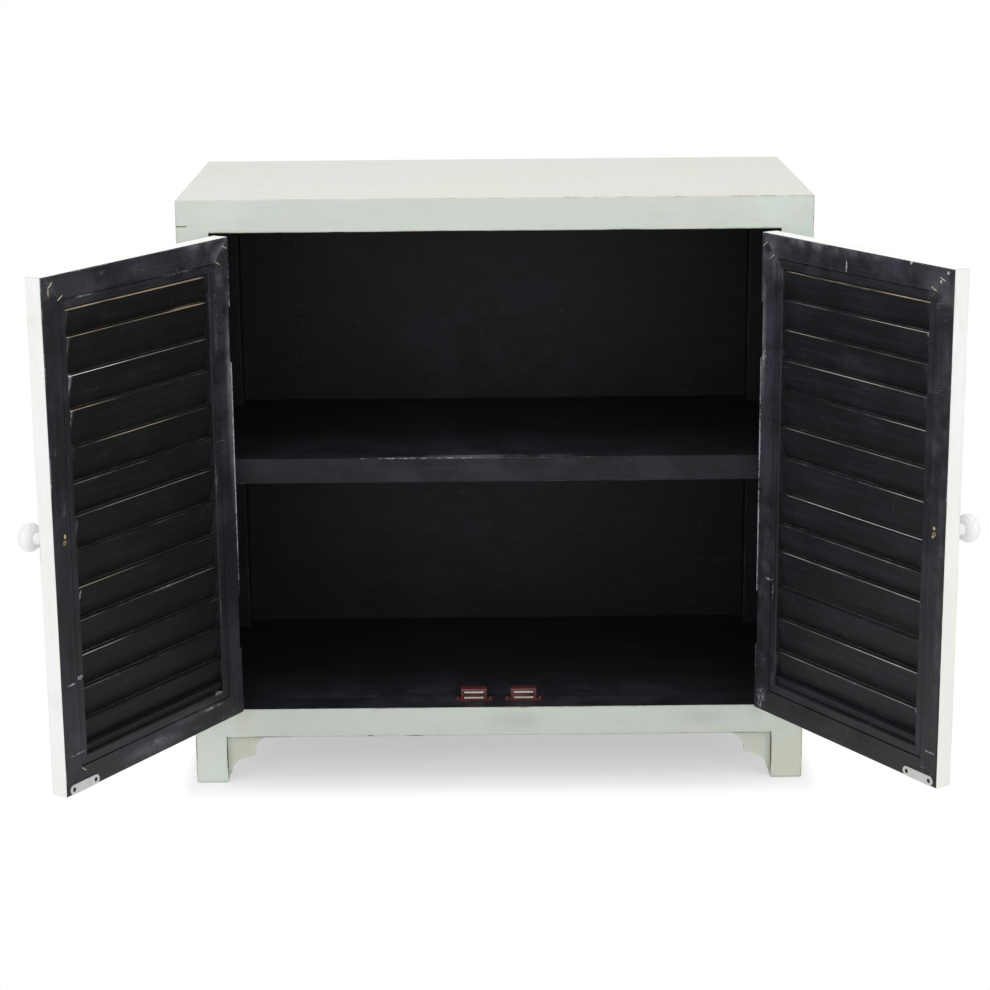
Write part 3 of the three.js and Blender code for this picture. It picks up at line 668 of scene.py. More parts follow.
def finish(name):
    """A finish of the cabinet, made when it is first asked for."""
    if name in bpy.data.materials:
        return bpy.data.materials[name]
    s = bpy.context.scene.cabinet_finishes
    side = name.split("_")[0]
    makers = {
        "case_paint": lambda: painted_timber(name, s.sage, s.sage_aged, s, marks=CASE_MARKS),
        # The top's upper face is mostly aged sage: partly aged paint, partly painted warm light from above.
        "top_paint": lambda: painted_timber(name, s.sage, s.sage_aged, s, ageing=0.95, marks=CASE_MARKS),
        # The stain inside the case carries the painted light of the inside patches.
        "case_stain": lambda: stained_timber(name, s.stain, s, *STAINED["case"], INSIDE_PAINTED_LIGHT),
        "left_door_paint": lambda: painted_timber(name, s.chalk, s.chalk_aged, s),
        "right_door_paint": lambda: painted_timber(name, s.chalk, s.chalk_aged, s, marks=FREE_EDGE_MARKS),
        # The door frames' stain carries painted shade on their bottom rails.
        f"{side}_frame_stain": lambda: stained_timber(name, s.stain, s, *STAINED["frame"], door_marks(side)),
        "left_slat_stain": lambda: stained_timber(
            name, s.stain_slats, s, *STAINED["left_slat"], door_marks(side)
        ),
        "right_slat_stain": lambda: stained_timber(
            name, s.stain, s, *STAINED["right_slat"], door_marks(side)
        ),
        "knob_paint": lambda: smooth_finish(
            name, s.knob_white, s.chalk_aged, (60.0, 3.0), (0.45, 0.75, 0.5), (0.3, 0.8, 0.1, 0.2), 900.0,
            KNOB_RELIEF, coat=0.5
        ),
        "hinge_steel": lambda: plain_metal(name, s.steel, 0.35, s),
        "zinc_plate": lambda: plain_metal(name, s.zinc, 0.45, s, 0.08, metallic=0.2),
        "screw_steel": lambda: plain_metal(name, s.steel, 0.25, s, 0.5),
        "knob_brass": lambda: plain_metal(name, s.brass, 0.25, s, 0.2, metallic=0.5),
        "staple_wire": lambda: plain_metal(name, s.wire, 0.35, s, 0.1, metallic=0.3),
        "catch_plastic": lambda: smooth_finish(
            name, s.plastic, s.stain, (120.0, 3.0), (0.4, 0.7, 0.35), (0.3, 0.7, 0.1, 0.34), 1800.0,
            PLASTIC_RELIEF
        ),
    }
    return makers[name]()


def axes_of(along, across):
    """The matrix that turns a place into its parts along, across and through the grain."""
    through = AXES[along].cross(AXES[across])
    return Matrix((AXES[along], AXES[across], through)).to_4x4()


def door_joint(side):
    """The joint that a door turns on."""
    return next(joint for joint in frame["joints"] if joint["child"] == f"{side}_door")


def door_axes(side):
    """The matrix from the whole model to a closed door's own axes: X from the hinged edge, Y from the outer
    face and Z up from the lower edge."""
    joint = door_joint(side)
    closing = max(joint["range_deg"], key=abs)
    mirror = Matrix.Diagonal((math.copysign(1, closing), 1, 1, 1))
    turn = Matrix.Rotation(math.radians(closing), 4, "Z")
    closed = mirror @ turn @ Matrix.Translation(-Vector(joint["pos_m"]))
    places = [closed @ v.co for name in DOOR_MEMBERS for v in NODES[f"{side}_door_{name}"].data.vertices]
    return Matrix.Translation(-corners_of(places)[0]) @ closed


def corners_of(places):
    """The lowest and the highest corner of some places."""
    return tuple(Vector(pick(place[axis] for place in places) for axis in range(3)) for pick in (min, max))


def box_in(axes, node):
    """The lowest and highest corner of a node in other axes."""
    return corners_of([axes @ v.co for v in NODES[node].data.vertices])


def merged(node):
    """A mesh to work on: the node's triangles with their doubles merged and its flat faces whole."""
    mesh = bmesh.new()
    mesh.from_mesh(NODES[node].data)
    bmesh.ops.remove_doubles(mesh, verts=mesh.verts, dist=MERGE_DISTANCE)
    bmesh.ops.dissolve_limit(mesh, angle_limit=FLAT_ANGLE, verts=mesh.verts, edges=mesh.edges)
    return mesh


def round_arrises(mesh, radius, neighbours=()):
    """Rounds the long outer arrises, except where a neighbour lies against them."""
    sharp = [
        edge for edge in mesh.edges
        if len(edge.link_faces) == 2 and edge.is_convex
        and edge.calc_face_angle() > WOOD_SHARP and edge.calc_length() > SHORTEST_ARRIS * radius
        and not any(touches(edge, box) for box in neighbours)
    ]
    bmesh.ops.bevel(
        mesh, geom=sharp, offset=radius, offset_type="OFFSET", segments=2, profile=0.5, affect="EDGES",
        clamp_overlap=False
    )


def touches(edge, box):
    """Whether the middle of an edge lies in or on a box."""
    middle = (edge.verts[0].co + edge.verts[1].co) / 2
    return all(box[0][axis] - TOUCHING < middle[axis] < box[1][axis] + TOUCHING for axis in range(3))


def cut_across(mesh, point, normal):
    """Cuts the faces of a mesh along a plane."""
    everything = [*mesh.verts, *mesh.edges, *mesh.faces]
    bmesh.ops.bisect_plane(mesh, geom=everything, plane_co=point, plane_no=normal)


def into_scene(name, data):
    """A new object of the scene."""
    thing = bpy.data.objects.new(name, data)
    bpy.context.scene.collection.objects.link(thing)
    return thing


def new_piece(name, mesh, materials, sharp=WOOD_SHARP):
    """An object from a bmesh, shaded smooth except at its sharp edges and on its broad flat faces."""
    data = bpy.data.meshes.new(name)
    curved = [2 * face.calc_area() < CURVED_WIDTH * face.calc_perimeter() for face in mesh.faces]
    mesh.to_mesh(data)
    mesh.free()
    for material in materials:
        data.materials.append(finish(material))
    data.set_sharp_from_angle(angle=sharp)
    data.polygons.foreach_set("use_smooth", curved)
    return into_scene(name, data)


def store(data, name, domain, values):
    """Stores a value or a vector on each point or face of a mesh."""
    vectors = hasattr(values[0], "__len__")
    attribute = data.attributes.new(name, "FLOAT_VECTOR" if vectors else "FLOAT", domain)
    if vectors:
        attribute.data.foreach_set("vector", [part for vector in values for part in vector])
    else:
        attribute.data.foreach_set("value", values)


def mark_places(piece, to_board, joined, seed):
    """Stores each point's place in its board's own axes, half the board's size, and a shift for its noise.
    A joined side is moved far away, so that its arrises don't count as free."""
    places = [to_board @ v.co for v in piece.data.vertices]
    low, high = corners_of(places)
    for side in joined:
        axis = max(range(3), key=lambda i: abs(side[i]))
        if side[axis] > 0:
            high[axis] += JOINED_REACH
        else:
            low[axis] -= JOINED_REACH
    middle = (low + high) / 2
    pick = random.Random(seed)
    shift = Vector(pick.uniform(-NOISE_SHIFT, NOISE_SHIFT) for _ in range(3))
    store(piece.data, "place", "POINT", [place - middle for place in places])
    store(piece.data, "half", "POINT", [(high - low) / 2] * len(places))
    store(piece.data, "shift", "POINT", [shift + middle] * len(places))


def wooden_piece(node, mesh, finishes, axes, board, joined, seed):
    """A piece whose points know their place on their board, some of whose sides are joined, and for the marks
    their place in the whole model or the closed door."""
    piece = new_piece(f"{node}_wood", mesh, finishes)
    turn = board.to_3x3()
    sides = [turn @ (AXES[word[1]] * (1 if word[0] == "+" else -1)) for word in joined.split()]
    mark_places(piece, board @ axes, sides, seed)
    store(piece.data, "mark_place", "POINT", [axes @ v.co for v in piece.data.vertices])
    return piece


def mark_slat_edge(piece, to_door, louvre, look, shows_edge):
    """Stores how the upper edge of a slat looks, and how far along the louvre each point lies."""
    middle, half = (louvre[0] + louvre[1]) / 2, (louvre[1] - louvre[0]) / 2
    along = [((to_door @ v.co).x - middle) / half for v in piece.data.vertices]
    store(piece.data, "along", "POINT", along)
    store(piece.data, "edge_look", "FACE", [look] * len(piece.data.polygons))
    mark_value(piece, "upper_edge", shows_edge)


def mark_value(piece, name, value_of_face):
    """Stores a value on each face of a piece."""
    store(piece.data, name, "FACE", [value_of_face(face) for face in piece.data.polygons])


def case_footprint():
    """The corners of the case's outline on the floor."""
    corners = corners_of([corner for name in CASE_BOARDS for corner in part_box(name)])
    return [Vector((corner.x, corner.y, 0)) for corner in corners]


def stand_for(piece, node, body):
    """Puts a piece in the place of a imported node."""
    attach(piece, body)
    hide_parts(node)


def case_face_finish(node, normal, centre):
    """0 for the paint of the outside, 1 for the stain of the inside, 2 for the paler, warmer paint of the
    top's upper face, which is partly aged paint and partly painted warm light from above.
    """
    leg_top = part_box("bottom_front_rail")[0].z
    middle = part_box("top_board")[0].lerp(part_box("top_board")[1], 0.5)
    if node == "top_board":
        return 2 if normal.z > CLEARLY else int(normal.z < -CLEARLY)
    if node == "top_front_rail":
        return int(normal.y >= -SLIGHTLY)
    if node == "bottom_front_rail":
        return int(normal.z > SQUARELY or normal.y > CLEARLY)
    if node.endswith("bracket"):
        return 0
    if node.endswith("side_panel"):
        return int(normal.x * (centre.x - middle.x) <= 0 or abs(normal.x) <= CLEARLY)
    if node.endswith("post"):
        inwards = middle - centre
        faces_in = normal.x * inwards.x > CLEARLY * abs(inwards.x)
        faces_along = normal.y * inwards.y > CLEARLY * abs(inwards.y)
        within_panel = abs(inwards.x) < middle.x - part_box("left_side_panel")[0].x
        return int(centre.z > leg_top and within_panel and (faces_in or faces_along))
    return 1


class BoardsOperator(bpy.types.Operator):
    """Finishes the boards, posts and panels of the case"""

    bl_idname = "cabinet.case_boards"
    bl_label = "Case boards"

    def execute(self, context):
        radius = context.scene.cabinet_fittings.arris
        leg_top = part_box("bottom_front_rail")[0].z
        for seed, (node, (along, across, joined)) in enumerate(CASE_BOARDS.items()):
            mesh = merged(node)
            if not node.endswith(("side_panel", "back_panel", "floor_board")):
                round_arrises(mesh, radius, [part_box(other) for other in CASE_BOARDS if other != node])
            if node.endswith("post"):
                cut_across(mesh, (0, 0, leg_top), AXES["Z"])
                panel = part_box(node.replace("front_post", "side_panel").replace("rear_post", "side_panel"))
                cut_across(mesh, panel[0] if node.startswith("left") else panel[1], AXES["X"])
            if node.endswith("front_post"):
                cut_across(mesh, (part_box(node)[0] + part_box(node)[1]) / 2, AXES["X"])
                for rail in ("top_front_rail", "bottom_front_rail"):
                    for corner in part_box(rail):
                        cut_across(mesh, corner, AXES["Z"])
            mesh.normal_update()
            for face in mesh.faces:
                face.material_index = case_face_finish(node, face.normal, face.calc_center_median())
            finishes = ("case_paint", "case_stain", "top_paint")
            board = axes_of(along, across)
            piece = wooden_piece(node, mesh, finishes, Matrix.Identity(4), board, joined, seed)
            mark_value(piece, "flush", lambda face: self.is_flush(node, face))
            stand_for(piece, node, "case")
        return {"FINISHED"}

    @staticmethod
    def is_flush(node, face):
        """1 on the inner half of a front post beside a rail, where no arris shows."""
        if not node.endswith("front_post"):
            return 0.0
        low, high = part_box(node)
        inner = (face.center.x > (low.x + high.x) / 2) == node.startswith("left")
        rails = (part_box("top_front_rail"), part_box("bottom_front_rail"))
        return float(inner and any(rail[0].z < face.center.z < rail[1].z for rail in rails))


class DoorFramesOperator(bpy.types.Operator):
    """Finishes the mitred members of both door frames"""

    bl_idname = "cabinet.door_frames"
    bl_label = "Door frames"

    def execute(self, context):
        fittings = context.scene.cabinet_fittings
        for side in SIDES:
            to_door = door_axes(side)
            turn = to_door.to_3x3()
            back = to_door.inverted()
            stile = box_in(to_door, f"{side}_door_hinge_stile")
            louvre = (stile[1].x, stile[1].z - stile[1].x)
            inner_edge, corner = box_in(to_door, f"{side}_door_lock_stile")
            louvre_width = (stile[1].x, inner_edge.x)
            for seed, (name, (along, across, joined)) in enumerate(DOOR_MEMBERS.items()):
                node = f"{side}_door_{name}"
                mesh = merged(node)
                cut_across(mesh, back @ Vector((0, fittings.paint_depth, 0)), turn.inverted() @ AXES["Y"])
                if name == "top_rail":
                    band = Vector((0, 0, louvre[1] - fittings.bare_band))
                    cut_across(mesh, back @ band, turn.inverted() @ AXES["Z"])
                mesh.normal_update()
                for face in mesh.faces:
                    place = to_door @ face.calc_center_median()
                    in_slat = name.endswith("rail") and louvre[0] + HAIR < place.z < louvre[1] - HAIR
                    painted = self.is_painted(name, turn @ face.normal, place, corner, fittings.paint_depth)
                    face.material_index = 0 if painted else 2 if in_slat else 1
                finishes = (f"{side}_door_paint", f"{side}_frame_stain", f"{side}_slat_stain")
                board = axes_of(along, across)
                piece = wooden_piece(node, mesh, finishes, to_door, board, joined, seed + len(side))
                if name.endswith("rail"):
                    top = name == "top_rail"
                    edge = louvre[1] - fittings.bare_band if top else louvre[0]
                    look = SLAT_EDGES[side][0] if top else LAST_SLAT_EDGE
                    shown = lambda face: self.shows_edge(face, to_door, top, edge)
                    mark_slat_edge(piece, to_door, louvre_width, look, shown)
                stand_for(piece, node, f"{side}_door")
        return {"FINISHED"}

    @staticmethod
    def shows_edge(face, to_door, top, edge):
        """1 on the upper edge of the slat that is fused with a rail."""
        facing = to_door.to_3x3() @ face.normal
        height = (to_door @ face.center).z - edge
        if top:
            return float(0 < height < SLAT_EDGE_HEIGHT and facing.y > BARELY)
        return float(height > 0 and facing.z > SLIGHTLY)

    @staticmethod
    def is_painted(name, normal, place, corner, paint_depth):
        """Whether a face has the paint of the outside: the outer face, the outer edges, and the outer part
        of the edges round the louvre."""
        if normal.y < -SLIGHTLY:
            return True
        outer_edge = {
            "hinge_stile": normal.x < -SQUARELY and place.x < OUTER_BAND,
            "lock_stile": normal.x > SQUARELY and place.x > corner.x - OUTER_BAND,
            "top_rail": normal.z > SQUARELY and place.z > corner.z - OUTER_BAND,
            "bottom_rail": normal.z < -SQUARELY and place.z < OUTER_BAND,
        }[name]
        return place.y < paint_depth or outer_edge


class SlatsOperator(bpy.types.Operator):
    """Finishes the louvre slats of both doors"""

    bl_idname = "cabinet.slats"
    bl_label = "Louvre slats"

    def execute(self, context):
        radius = context.scene.cabinet_fittings.arris
        for side in SIDES:
            to_door = door_axes(side)
            stiles = (box_in(to_door, f"{side}_door_{name}_stile") for name in ("hinge", "lock"))
            louvre = (next(stiles)[1].x, next(stiles)[0].x)
            for number, name in enumerate(SLATS):
                self.one_slat(side, f"{side}_door_{name}", to_door, louvre, number, radius)
        return {"FINISHED"}

    def one_slat(self, side, node, to_door, louvre, number, radius):
        """Finishes one slat, whose board lies at a slope in the door."""
        mesh = merged(node)
        turn = to_door.to_3x3()
        face = max(mesh.faces, key=lambda face: face.calc_area())
        through = (turn @ face.normal).normalized()
        through = through if through.y > 0 else -through
        along = AXES["X"]
        up = through.cross(along)
        up = up if up.z > 0 else -up
        board = Matrix((along, up, through)).to_4x4()
        round_arrises(mesh, radius)
        mesh.normal_update()
        for face in mesh.faces:
            normal = turn @ face.normal
            face.material_index = int(normal.dot(through) < -SLIGHTLY or normal.dot(up) < -MOSTLY)
        finishes = (f"{side}_slat_stain", f"{side}_door_paint")
        seed = SLAT_SEED + number + len(side)
        piece = wooden_piece(node, mesh, finishes, to_door, board, "+X -X", seed)
        look = SLAT_EDGES[side][number + 1]
        shown = lambda face: float((turn @ face.normal).dot(up) > SLIGHTLY)
        mark_slat_edge(piece, to_door, louvre, look, shown)
        stand_for(piece, node, f"{side}_door")


class KnobsOperator(bpy.types.Operator):
    """Turns both knobs"""

    bl_idname = "cabinet.knobs"
    bl_label = "Knobs"

    def execute(self, context):
        for side in SIDES:
            node = f"{side}_door_knob"
            to_door = door_axes(side)
            places = [to_door @ v.co for v in NODES[node].data.vertices]
            centre = sum(places, Vector()) / len(places)
            profile = self.profile(places, centre)
            mesh = bmesh.new()
            ring = [
                mesh.verts.new(to_door.inverted() @ Vector((centre.x + r * KNOB_SHARE, y, centre.z)))
                for r, y in profile
            ]
            edges = [mesh.edges.new(pair) for pair in zip(ring, ring[1:])]
            axis = to_door.to_3x3().inverted() @ AXES["Y"]
            bmesh.ops.spin(
                mesh, geom=ring + edges, cent=to_door.inverted() @ centre, axis=axis,
                angle=2 * math.pi, steps=KNOB_STEPS, use_merge=True
            )
            bmesh.ops.remove_doubles(mesh, verts=mesh.verts, dist=MERGE_DISTANCE)
            bmesh.ops.recalc_face_normals(mesh, faces=mesh.faces)
            piece = new_piece(f"{node}_turned", mesh, ("knob_paint",), KNOB_SHARP)
            stand_for(piece, node, f"{side}_door")
        return {"FINISHED"}

    @staticmethod
    def profile(places, centre):
        """Radius and depth from the axis at the seat to the tip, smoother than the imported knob."""
        rings = {}
        for place in places:
            radius = math.hypot(place.x - centre.x, place.z - centre.z)
            rings[round(place.y, 6)] = max(radius, rings.get(round(place.y, 6), 0.0))
        depths = sorted(rings, reverse=True)
        seat = depths[0]
        fine = [(0.0, seat)]
        points = [(rings[depth], depth) for depth in depths]
        fine.append(points[0])
        for before, start, end, after in zip(points, points[1:], points[2:], points[3:]):
            for part in RING_STEPS:
                fine.append(tuple(
                    0.5 * (2 * b + (c - a) * part + (2 * a - 5 * b + 4 * c - d) * part ** 2
                           + (3 * b - a - 3 * c + d) * part ** 3)
                    for a, b, c, d in zip(before, start, end, after)
                ))
        fine.append(points[-2])
        fine.append((0.0, points[-1][1]))
        return [(max(radius, 0.0), depth) for radius, depth in fine]


class CatchesOperator(bpy.types.Operator):
    """Finishes the magnetic catches and the strike plates"""

    bl_idname = "cabinet.catches"
    bl_label = "Catches and strike plates"

    def execute(self, context):
        for side in SIDES:
            node = f"{side}_magnetic_catch"
            pole_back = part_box(node)[0].y + POLE_DEPTH
            mesh = merged(node)
            mesh.normal_update()
            for face in mesh.faces:
                face.material_index = int(face.calc_center_median().y < pole_back)
            piece = new_piece(f"{node}_body", mesh, ("catch_plastic", "zinc_plate"))
            stand_for(piece, node, "case")
            plate = f"{side}_door_strike_plate"
            piece = new_piece(f"{plate}_zinc", merged(plate), ("zinc_plate",))
            stand_for(piece, plate, f"{side}_door")
        return {"FINISHED"}


class HingesOperator(bpy.types.Operator):
    """Gives the hinge leaves their steel"""

    bl_idname = "cabinet.hinges"
    bl_label = "Hinges"

    def execute(self, context):
        for node, piece in NODES.items():
            if "hinge" in node and "leaf" in node:
                piece.data.materials.clear()
                piece.data.materials.append(finish("hinge_steel"))
        return {"FINISHED"}


def grower(name, sizes):
    """A new Geometry Nodes tree that grows a fitting on points, its graph, and the links of its inputs."""
    tree = bpy.data.node_groups.new(name, "GeometryNodeTree")
    tree.interface.new_socket("Points", in_out="INPUT", socket_type="NodeSocketGeometry")
    for size in sizes:
        tree.interface.new_socket(size, in_out="INPUT", socket_type="NodeSocketFloat")
    tree.interface.new_socket("Material", in_out="INPUT", socket_type="NodeSocketMaterial")
    tree.interface.new_socket("Fittings", in_out="OUTPUT", socket_type="NodeSocketGeometry")
    graph = Graph(tree)
    start = graph.add("NodeGroupInput").socket.node.outputs
    return tree, graph, {socket.name: Link(graph, socket) for socket in start if socket.name}


def close_grower(graph, inputs, fitting):
    """Sets one fitting on each point, turned by the point's facing and heading."""
    vectors = [
        graph.add("GeometryNodeInputNamedAttribute", {"data_type": "FLOAT_VECTOR"}, {"Name": name})
        for name in ("facing", "heading")
    ]
    turn = graph.add(
        "FunctionNodeAxesToRotation", {"primary_axis": "Z", "secondary_axis": "X"},
        {"Primary Axis": vectors[0], "Secondary Axis": vectors[1]}
    )
    copies = graph.add(
        "GeometryNodeInstanceOnPoints", {},
        {"Points": inputs["Points"], "Instance": fitting, "Rotation": turn}
    )
    real = graph.add("GeometryNodeRealizeInstances", {}, {"Geometry": copies})
    done = graph.add("GeometryNodeSetMaterial", {}, {"Geometry": real, "Material": inputs["Material"]})
    graph.add("NodeGroupOutput", {}, {"Fittings": done})


def screw_grower():
    """Screw heads with a cross recess: a cone from a lower to an upper radius, sunk by a depth."""
    tree, graph, inputs = grower("screw_heads", ("Lower Radius", "Upper Radius", "Height", "Sink"))
    head = graph.add(
        "GeometryNodeMeshCone", {},
        {"Vertices": SCREW_SIDES, "Radius Top": inputs["Upper Radius"],
         "Radius Bottom": inputs["Lower Radius"], "Depth": inputs["Height"]}
    )
    long_share, wide_share, deep_share = RECESS
    deep = inputs["Height"] * deep_share
    cuts = []
    long, wide = inputs["Upper Radius"] * long_share, inputs["Upper Radius"] * wide_share
    for sizes in ((long, wide), (wide, long)):
        bar = graph.add("GeometryNodeMeshCube", {}, {"Size": graph.join(*sizes, deep)})
        lift = graph.join(z=inputs["Height"])
        cuts.append(graph.add("GeometryNodeTransform", {}, {"Geometry": bar, "Translation": lift}))
    recessed = graph.add("GeometryNodeMeshBoolean", {"operation": "DIFFERENCE"}, {"Mesh 1": head})
    for cut in cuts:
        graph.tree.links.new(cut.socket, recessed.socket.node.inputs["Mesh 2"])
    down = graph.join(z=inputs["Sink"] * -1.0)
    sunk = graph.add("GeometryNodeTransform", {}, {"Geometry": recessed, "Translation": down})
    close_grower(graph, inputs, sunk)
    return tree


def staple_grower():
    """Staples: a bowed crown of round wire, whose ends go into the wood."""
    tree, graph, inputs = grower("staples", ("Span", "Wire"))
    ends = [
        graph.join(x=inputs["Span"] * reach, z=inputs["Wire"] * height)
        for reach, height in STAPLE_CROWN
    ]
    crown = graph.add(
        "GeometryNodeCurveArc", {"mode": "POINTS"},
        {"Resolution": CROWN_STEPS, "Start": ends[0], "Middle": ends[1], "End": ends[2]}
    )
    ring = graph.add(
        "GeometryNodeCurvePrimitiveCircle", {}, {"Resolution": WIRE_SIDES, "Radius": inputs["Wire"]}
    )
    wire = graph.add(
        "GeometryNodeCurveToMesh", {}, {"Curve": crown, "Profile Curve": ring, "Fill Caps": True}
    )
    close_grower(graph, inputs, wire)
    return tree


def grow(name, tree, points, sizes, material, body):
    """Grows fittings on points, each a place, a facing and a heading, and keeps them as one plain mesh."""
    data = bpy.data.meshes.new(f"{name}_points")
    data.from_pydata([place for place, facing, heading in points], [], [])
    store(data, "facing", "POINT", [facing for place, facing, heading in points])
    store(data, "heading", "POINT", [heading for place, facing, heading in points])
    carrier = into_scene(f"{name}_points", data)
    modifier = carrier.modifiers.new("grow", "NODES")
    modifier.node_group = tree
    values = {**sizes, "Material": finish(material)}
    for item in tree.interface.items_tree:
        if item.in_out == "INPUT" and item.name in values:
            modifier[item.identifier] = values[item.name]
    depsgraph = bpy.context.evaluated_depsgraph_get()
    grown = bpy.data.meshes.new_from_object(carrier.evaluated_get(depsgraph))
    bpy.data.objects.remove(carrier)
    if not grown.polygons:
        raise RuntimeError(f"nothing grew for {name}")
    grown.name = name
    grown.shade_smooth()
    grown.set_sharp_from_angle(angle=FITTING_SHARP)
    piece = into_scene(name, grown)
    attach(piece, body)


def placed(axes, places, facing, headings):
    """Points for fittings, given in other axes."""
    back = axes.inverted()
    turn = back.to_3x3()
    return [(back @ Vector(p), turn @ Vector(facing), turn @ Vector(h)) for p, h in zip(places, headings)]


class ScrewsOperator(bpy.types.Operator):
    """Sets the screws of the hinges, plates, catches and knobs"""

    bl_idname = "cabinet.screws"
    bl_label = "Screws"

    def execute(self, context):
        fittings = context.scene.cabinet_fittings
        tree = screw_grower()
        pick = random.Random(SCREW_SEED)
        x, y, z = AXES.values()

        def headings(count, in_plane):
            """The ways that some cross recesses lie, at random in a plane."""
            turns = (pick.uniform(0, math.pi) for _ in range(count))
            return [in_plane[0] * math.cos(turn) + in_plane[1] * math.sin(turn) for turn in turns]

        def head(kind):
            """The sizes of a head, whose setting is its larger radius."""
            height, proud, spread = SCREW_HEADS[kind]
            radius = getattr(fittings, f"{kind}_screw")
            return {"Upper Radius": radius * min(1, 1 / spread), "Lower Radius": radius * min(1, spread),
                    "Height": height * MM, "Sink": (height - proud) * MM}

        def screws(name, kind, body, axes, places, facing, in_plane, look="screw_steel"):
            """Screws of one kind that face the same way."""
            points = placed(axes, places, facing, headings(len(places), in_plane))
            grow(f"{body}_{name}", tree, points, head(kind), look, body)

        post_screws = []
        for side in SIDES:
            body = f"{side}_door"
            to_door = door_axes(side)
            axis = Vector(door_joint(side)["pos_m"])
            pin = to_door @ axis
            inwards = 1 if side == "left" else -1
            places = []
            for level in ("lower", "upper"):
                post_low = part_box(f"{side}_{level}_hinge_post_leaf")[0].z
                door_low = box_in(to_door, f"{side}_{level}_hinge_door_leaf")[0].z
                for reach, height in HINGE_SCREWS:
                    post = Vector((axis.x - inwards * LEAF_FACE, axis.y + reach * MM, post_low + height * MM))
                    post_screws.append((post, x * inwards, headings(1, (y, z))[0]))
                    places.append((pin.x + LEAF_FACE, pin.y + reach * MM, door_low + height * MM))
            screws("hinge_screws", "hinge", body, to_door, places, -x, (y, z))

            low, high = box_in(to_door, f"{body}_strike_plate")
            middle = (low + high) / 2
            places = [(middle.x + way * PLATE_SCREWS, high.y, middle.z) for way in (-1, 1)]
            screws("plate_screws", "plate", body, to_door, places, y, (x, z))

            low, high = box_in(to_door, f"{body}_knob")
            middle = (low + high) / 2
            places = [(middle.x, box_in(to_door, f"{body}_lock_stile")[1].y, middle.z)]
            screws("knob_screw", "knob", body, to_door, places, y, (x, z), "knob_brass")

        grow("case_hinge_screws", tree, post_screws, head("hinge"), "screw_steel", "case")
        places = []
        for low, high in (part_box(f"{side}_magnetic_catch") for side in SIDES):
            middle = (low + high) / 2
            for way in (-1, 1):
                places.append(Vector((middle.x + way * CATCH_SCREWS, middle.y, low.z)) + CATCH_EAR)
        whole = Matrix.Identity(4)
        screws("catch_screws", "catch", "case", whole, places, z, (x, y))
        return {"FINISHED"}


class StaplesOperator(bpy.types.Operator):
    """Sets the wire staples across the mitres"""

    bl_idname = "cabinet.staples"
    bl_label = "Staples"

    def execute(self, context):
        fittings = context.scene.cabinet_fittings
        tree = staple_grower()
        for side in SIDES:
            to_door = door_axes(side)
            face = box_in(to_door, f"{side}_door_lock_stile")[1].y
            places = [(x * MM, face, z * MM) for x, z, rise in STAPLES[side]]
            rises = [math.radians(rise) for x, z, rise in STAPLES[side]]
            headings = [Vector((math.cos(rise), 0, math.sin(rise))) for rise in rises]
            points = placed(to_door, places, AXES["Y"], headings)
            sizes = {"Span": fittings.staple_span, "Wire": fittings.staple_wire}
            name = f"{side}_door_staples"
            grow(name, tree, points, sizes, "staple_wire", f"{side}_door")
        return {"FINISHED"}


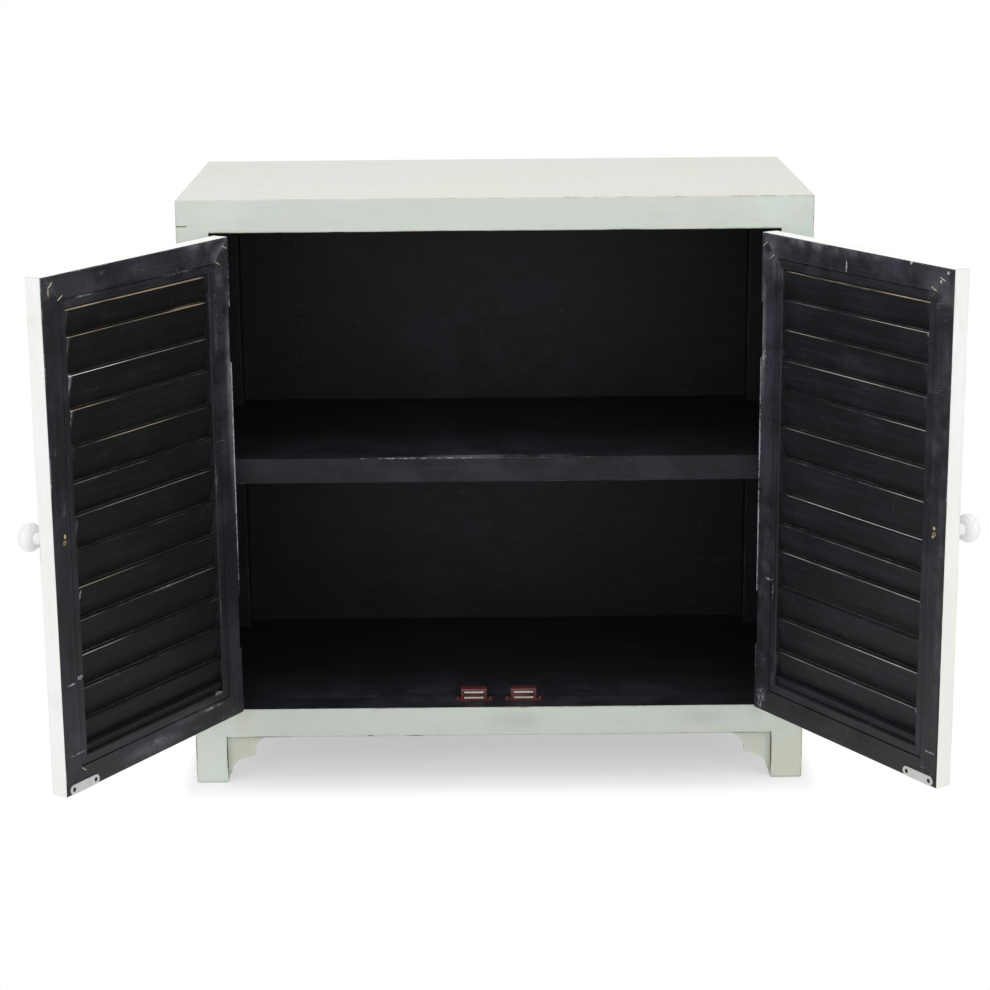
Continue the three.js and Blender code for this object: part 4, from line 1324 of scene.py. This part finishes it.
class StudioOperator(bpy.types.Operator):
    """Sets the floor, the lights and the camera"""

    bl_idname = "cabinet.studio"
    bl_label = "Studio"

    def execute(self, context):
        studio = context.scene.cabinet_studio
        self.floor(context, studio)
        self.sky(context, studio)
        for name, (place, size, setting) in SOFT_BOXES.items():
            self.soft_box(name, Vector(place), size, getattr(studio, setting))
        self.camera(context, studio)
        context.scene.view_settings.view_transform = "Standard"
        return {"FINISHED"}

    @staticmethod
    def seen(graph):
        """1 for the camera, and for what metal and glass show."""
        rays = graph.add("ShaderNodeLightPath").socket.node.outputs
        camera, glossy, glass = (
            Link(graph, rays[f"Is {kind} Ray"]) for kind in ("Camera", "Glossy", "Transmission")
        )
        return graph.maths("MAXIMUM", camera, graph.maths("MAXIMUM", glossy, glass))

    def floor(self, context, studio):
        """A white card that glows for the camera, less so under the case, so that the shadow stays soft."""
        data = bpy.data.meshes.new("floor")
        corners = [(x * FLOOR_REACH, y * FLOOR_REACH, 0) for x, y in ((-1, -1), (1, -1), (1, 1), (-1, 1))]
        data.from_pydata(corners, [], [(0, 1, 2, 3)])
        floor = into_scene("floor", data)
        material, graph = new_finish("floor_card")
        spot = graph.object_place()
        low, high = case_footprint()
        beyond = graph.vector("ABSOLUTE", graph.vector("SUBTRACT", spot, (low + high) / 2))
        beyond = graph.vector("MAXIMUM", graph.vector("SUBTRACT", beyond, (high - low) / 2))
        beyond = graph.vector("MULTIPLY", beyond, GLOW_STRETCH)
        glow_share = graph.step(graph.size(beyond), 0.0, studio.glow_reach) * (1 - studio.floor_glow)
        glow_share = glow_share + studio.floor_glow
        cloud = graph.noise(spot, 3.0, 2.0) * CARD_MOTTLE + CARD_WHITE
        card = graph.add("ShaderNodeBsdfDiffuse", {}, {"Color": graph.add(
            "ShaderNodeCombineColor", {}, {0: cloud, 1: cloud, 2: cloud}
        )})
        glow = graph.add("ShaderNodeEmission", {}, {"Color": (1, 1, 1, 1), "Strength": 1.0})
        shader = graph.add("ShaderNodeMixShader", {}, {0: self.seen(graph) * glow_share, 1: card, 2: glow})
        graph.add("ShaderNodeOutputMaterial", {}, {"Surface": shader})
        data.materials.append(material)

    def sky(self, context, studio):
        """Even light that the camera sees as plain white."""
        world = bpy.data.worlds.new("studio_sky")
        world.use_nodes = True
        world.node_tree.nodes.clear()
        graph = Graph(world.node_tree)
        even = graph.add("ShaderNodeBackground", {}, {"Color": (1, 1, 1, 1), "Strength": studio.sky})
        white = graph.add("ShaderNodeBackground", {}, {"Color": (1, 1, 1, 1), "Strength": 1.0})
        shader = graph.add("ShaderNodeMixShader", {}, {0: self.seen(graph), 1: even, 2: white})
        graph.add("ShaderNodeOutputWorld", {}, {"Surface": shader})
        context.scene.world = world

    def soft_box(self, name, place, size, watts):
        """A lamp that points at the cabinet."""
        light = bpy.data.lights.new(name, "AREA")
        light.shape = "RECTANGLE"
        light.size, light.size_y = size
        light.energy = watts
        lamp = into_scene(name, light)
        lamp.location = place
        lamp.rotation_euler = (CABINET_MIDDLE - place).to_track_quat("-Z", "Y").to_euler()

    def camera(self, context, studio):
        """The photograph's camera, from its place and three turns."""
        lens = bpy.data.cameras.new("camera")
        lens.sensor_fit = "HORIZONTAL"
        lens.sensor_width = SENSOR_WIDTH
        lens.lens = studio.lens
        lens.clip_end = FARTHEST_SEEN
        camera = into_scene("camera", lens)
        turns = ((-studio.yaw, "Z"), (math.pi / 2 - studio.pitch, "X"), (studio.roll, "Z"))
        placing = Matrix.Translation(studio.camera_place)
        for turn, axis in turns:
            placing = placing @ Matrix.Rotation(turn, 4, axis)
        camera.matrix_world = placing
        context.scene.camera = camera


OPERATORS = (
    BoardsOperator,
    DoorFramesOperator,
    SlatsOperator,
    KnobsOperator,
    CatchesOperator,
    HingesOperator,
    ScrewsOperator,
    StaplesOperator,
    StudioOperator,
)


class CabinetPanel(bpy.types.Panel):
    """Lists the cabinet's steps and settings"""

    bl_idname = "CABINET_PT_panel"
    bl_label = "Louvred Door Cabinet"
    bl_space_type = "VIEW_3D"
    bl_region_type = "UI"
    bl_category = "Cabinet"

    def draw(self, context):
        for operator in OPERATORS:
            self.layout.operator(operator.bl_idname)
        for name in SETTINGS:
            box = self.layout.box()
            settings = getattr(context.scene, name)
            for setting in settings.bl_rna.properties.keys():
                if setting not in ("rna_type", "name"):
                    box.prop(settings, setting)


SETTINGS = {
    "cabinet_finishes": CabinetFinishes,
    "cabinet_fittings": CabinetFittings,
    "cabinet_studio": CabinetStudio,
}
CLASSES = (*SETTINGS.values(), *OPERATORS, CabinetPanel)


def register():
    """Registers the classes and the settings."""
    for cls in CLASSES:
        bpy.utils.register_class(cls)
    for name, cls in SETTINGS.items():
        setattr(bpy.types.Scene, name, bpy.props.PointerProperty(type=cls))


def unregister():
    """Takes the settings and the classes away again."""
    for name in SETTINGS:
        delattr(bpy.types.Scene, name)
    for cls in reversed(CLASSES):
        bpy.utils.unregister_class(cls)


def main():
    """Runs the steps in order."""
    register()
    for operator in OPERATORS:
        group, name = operator.bl_idname.split(".")
        getattr(getattr(bpy.ops, group), name)()


if __name__ == "__main__":
    main()
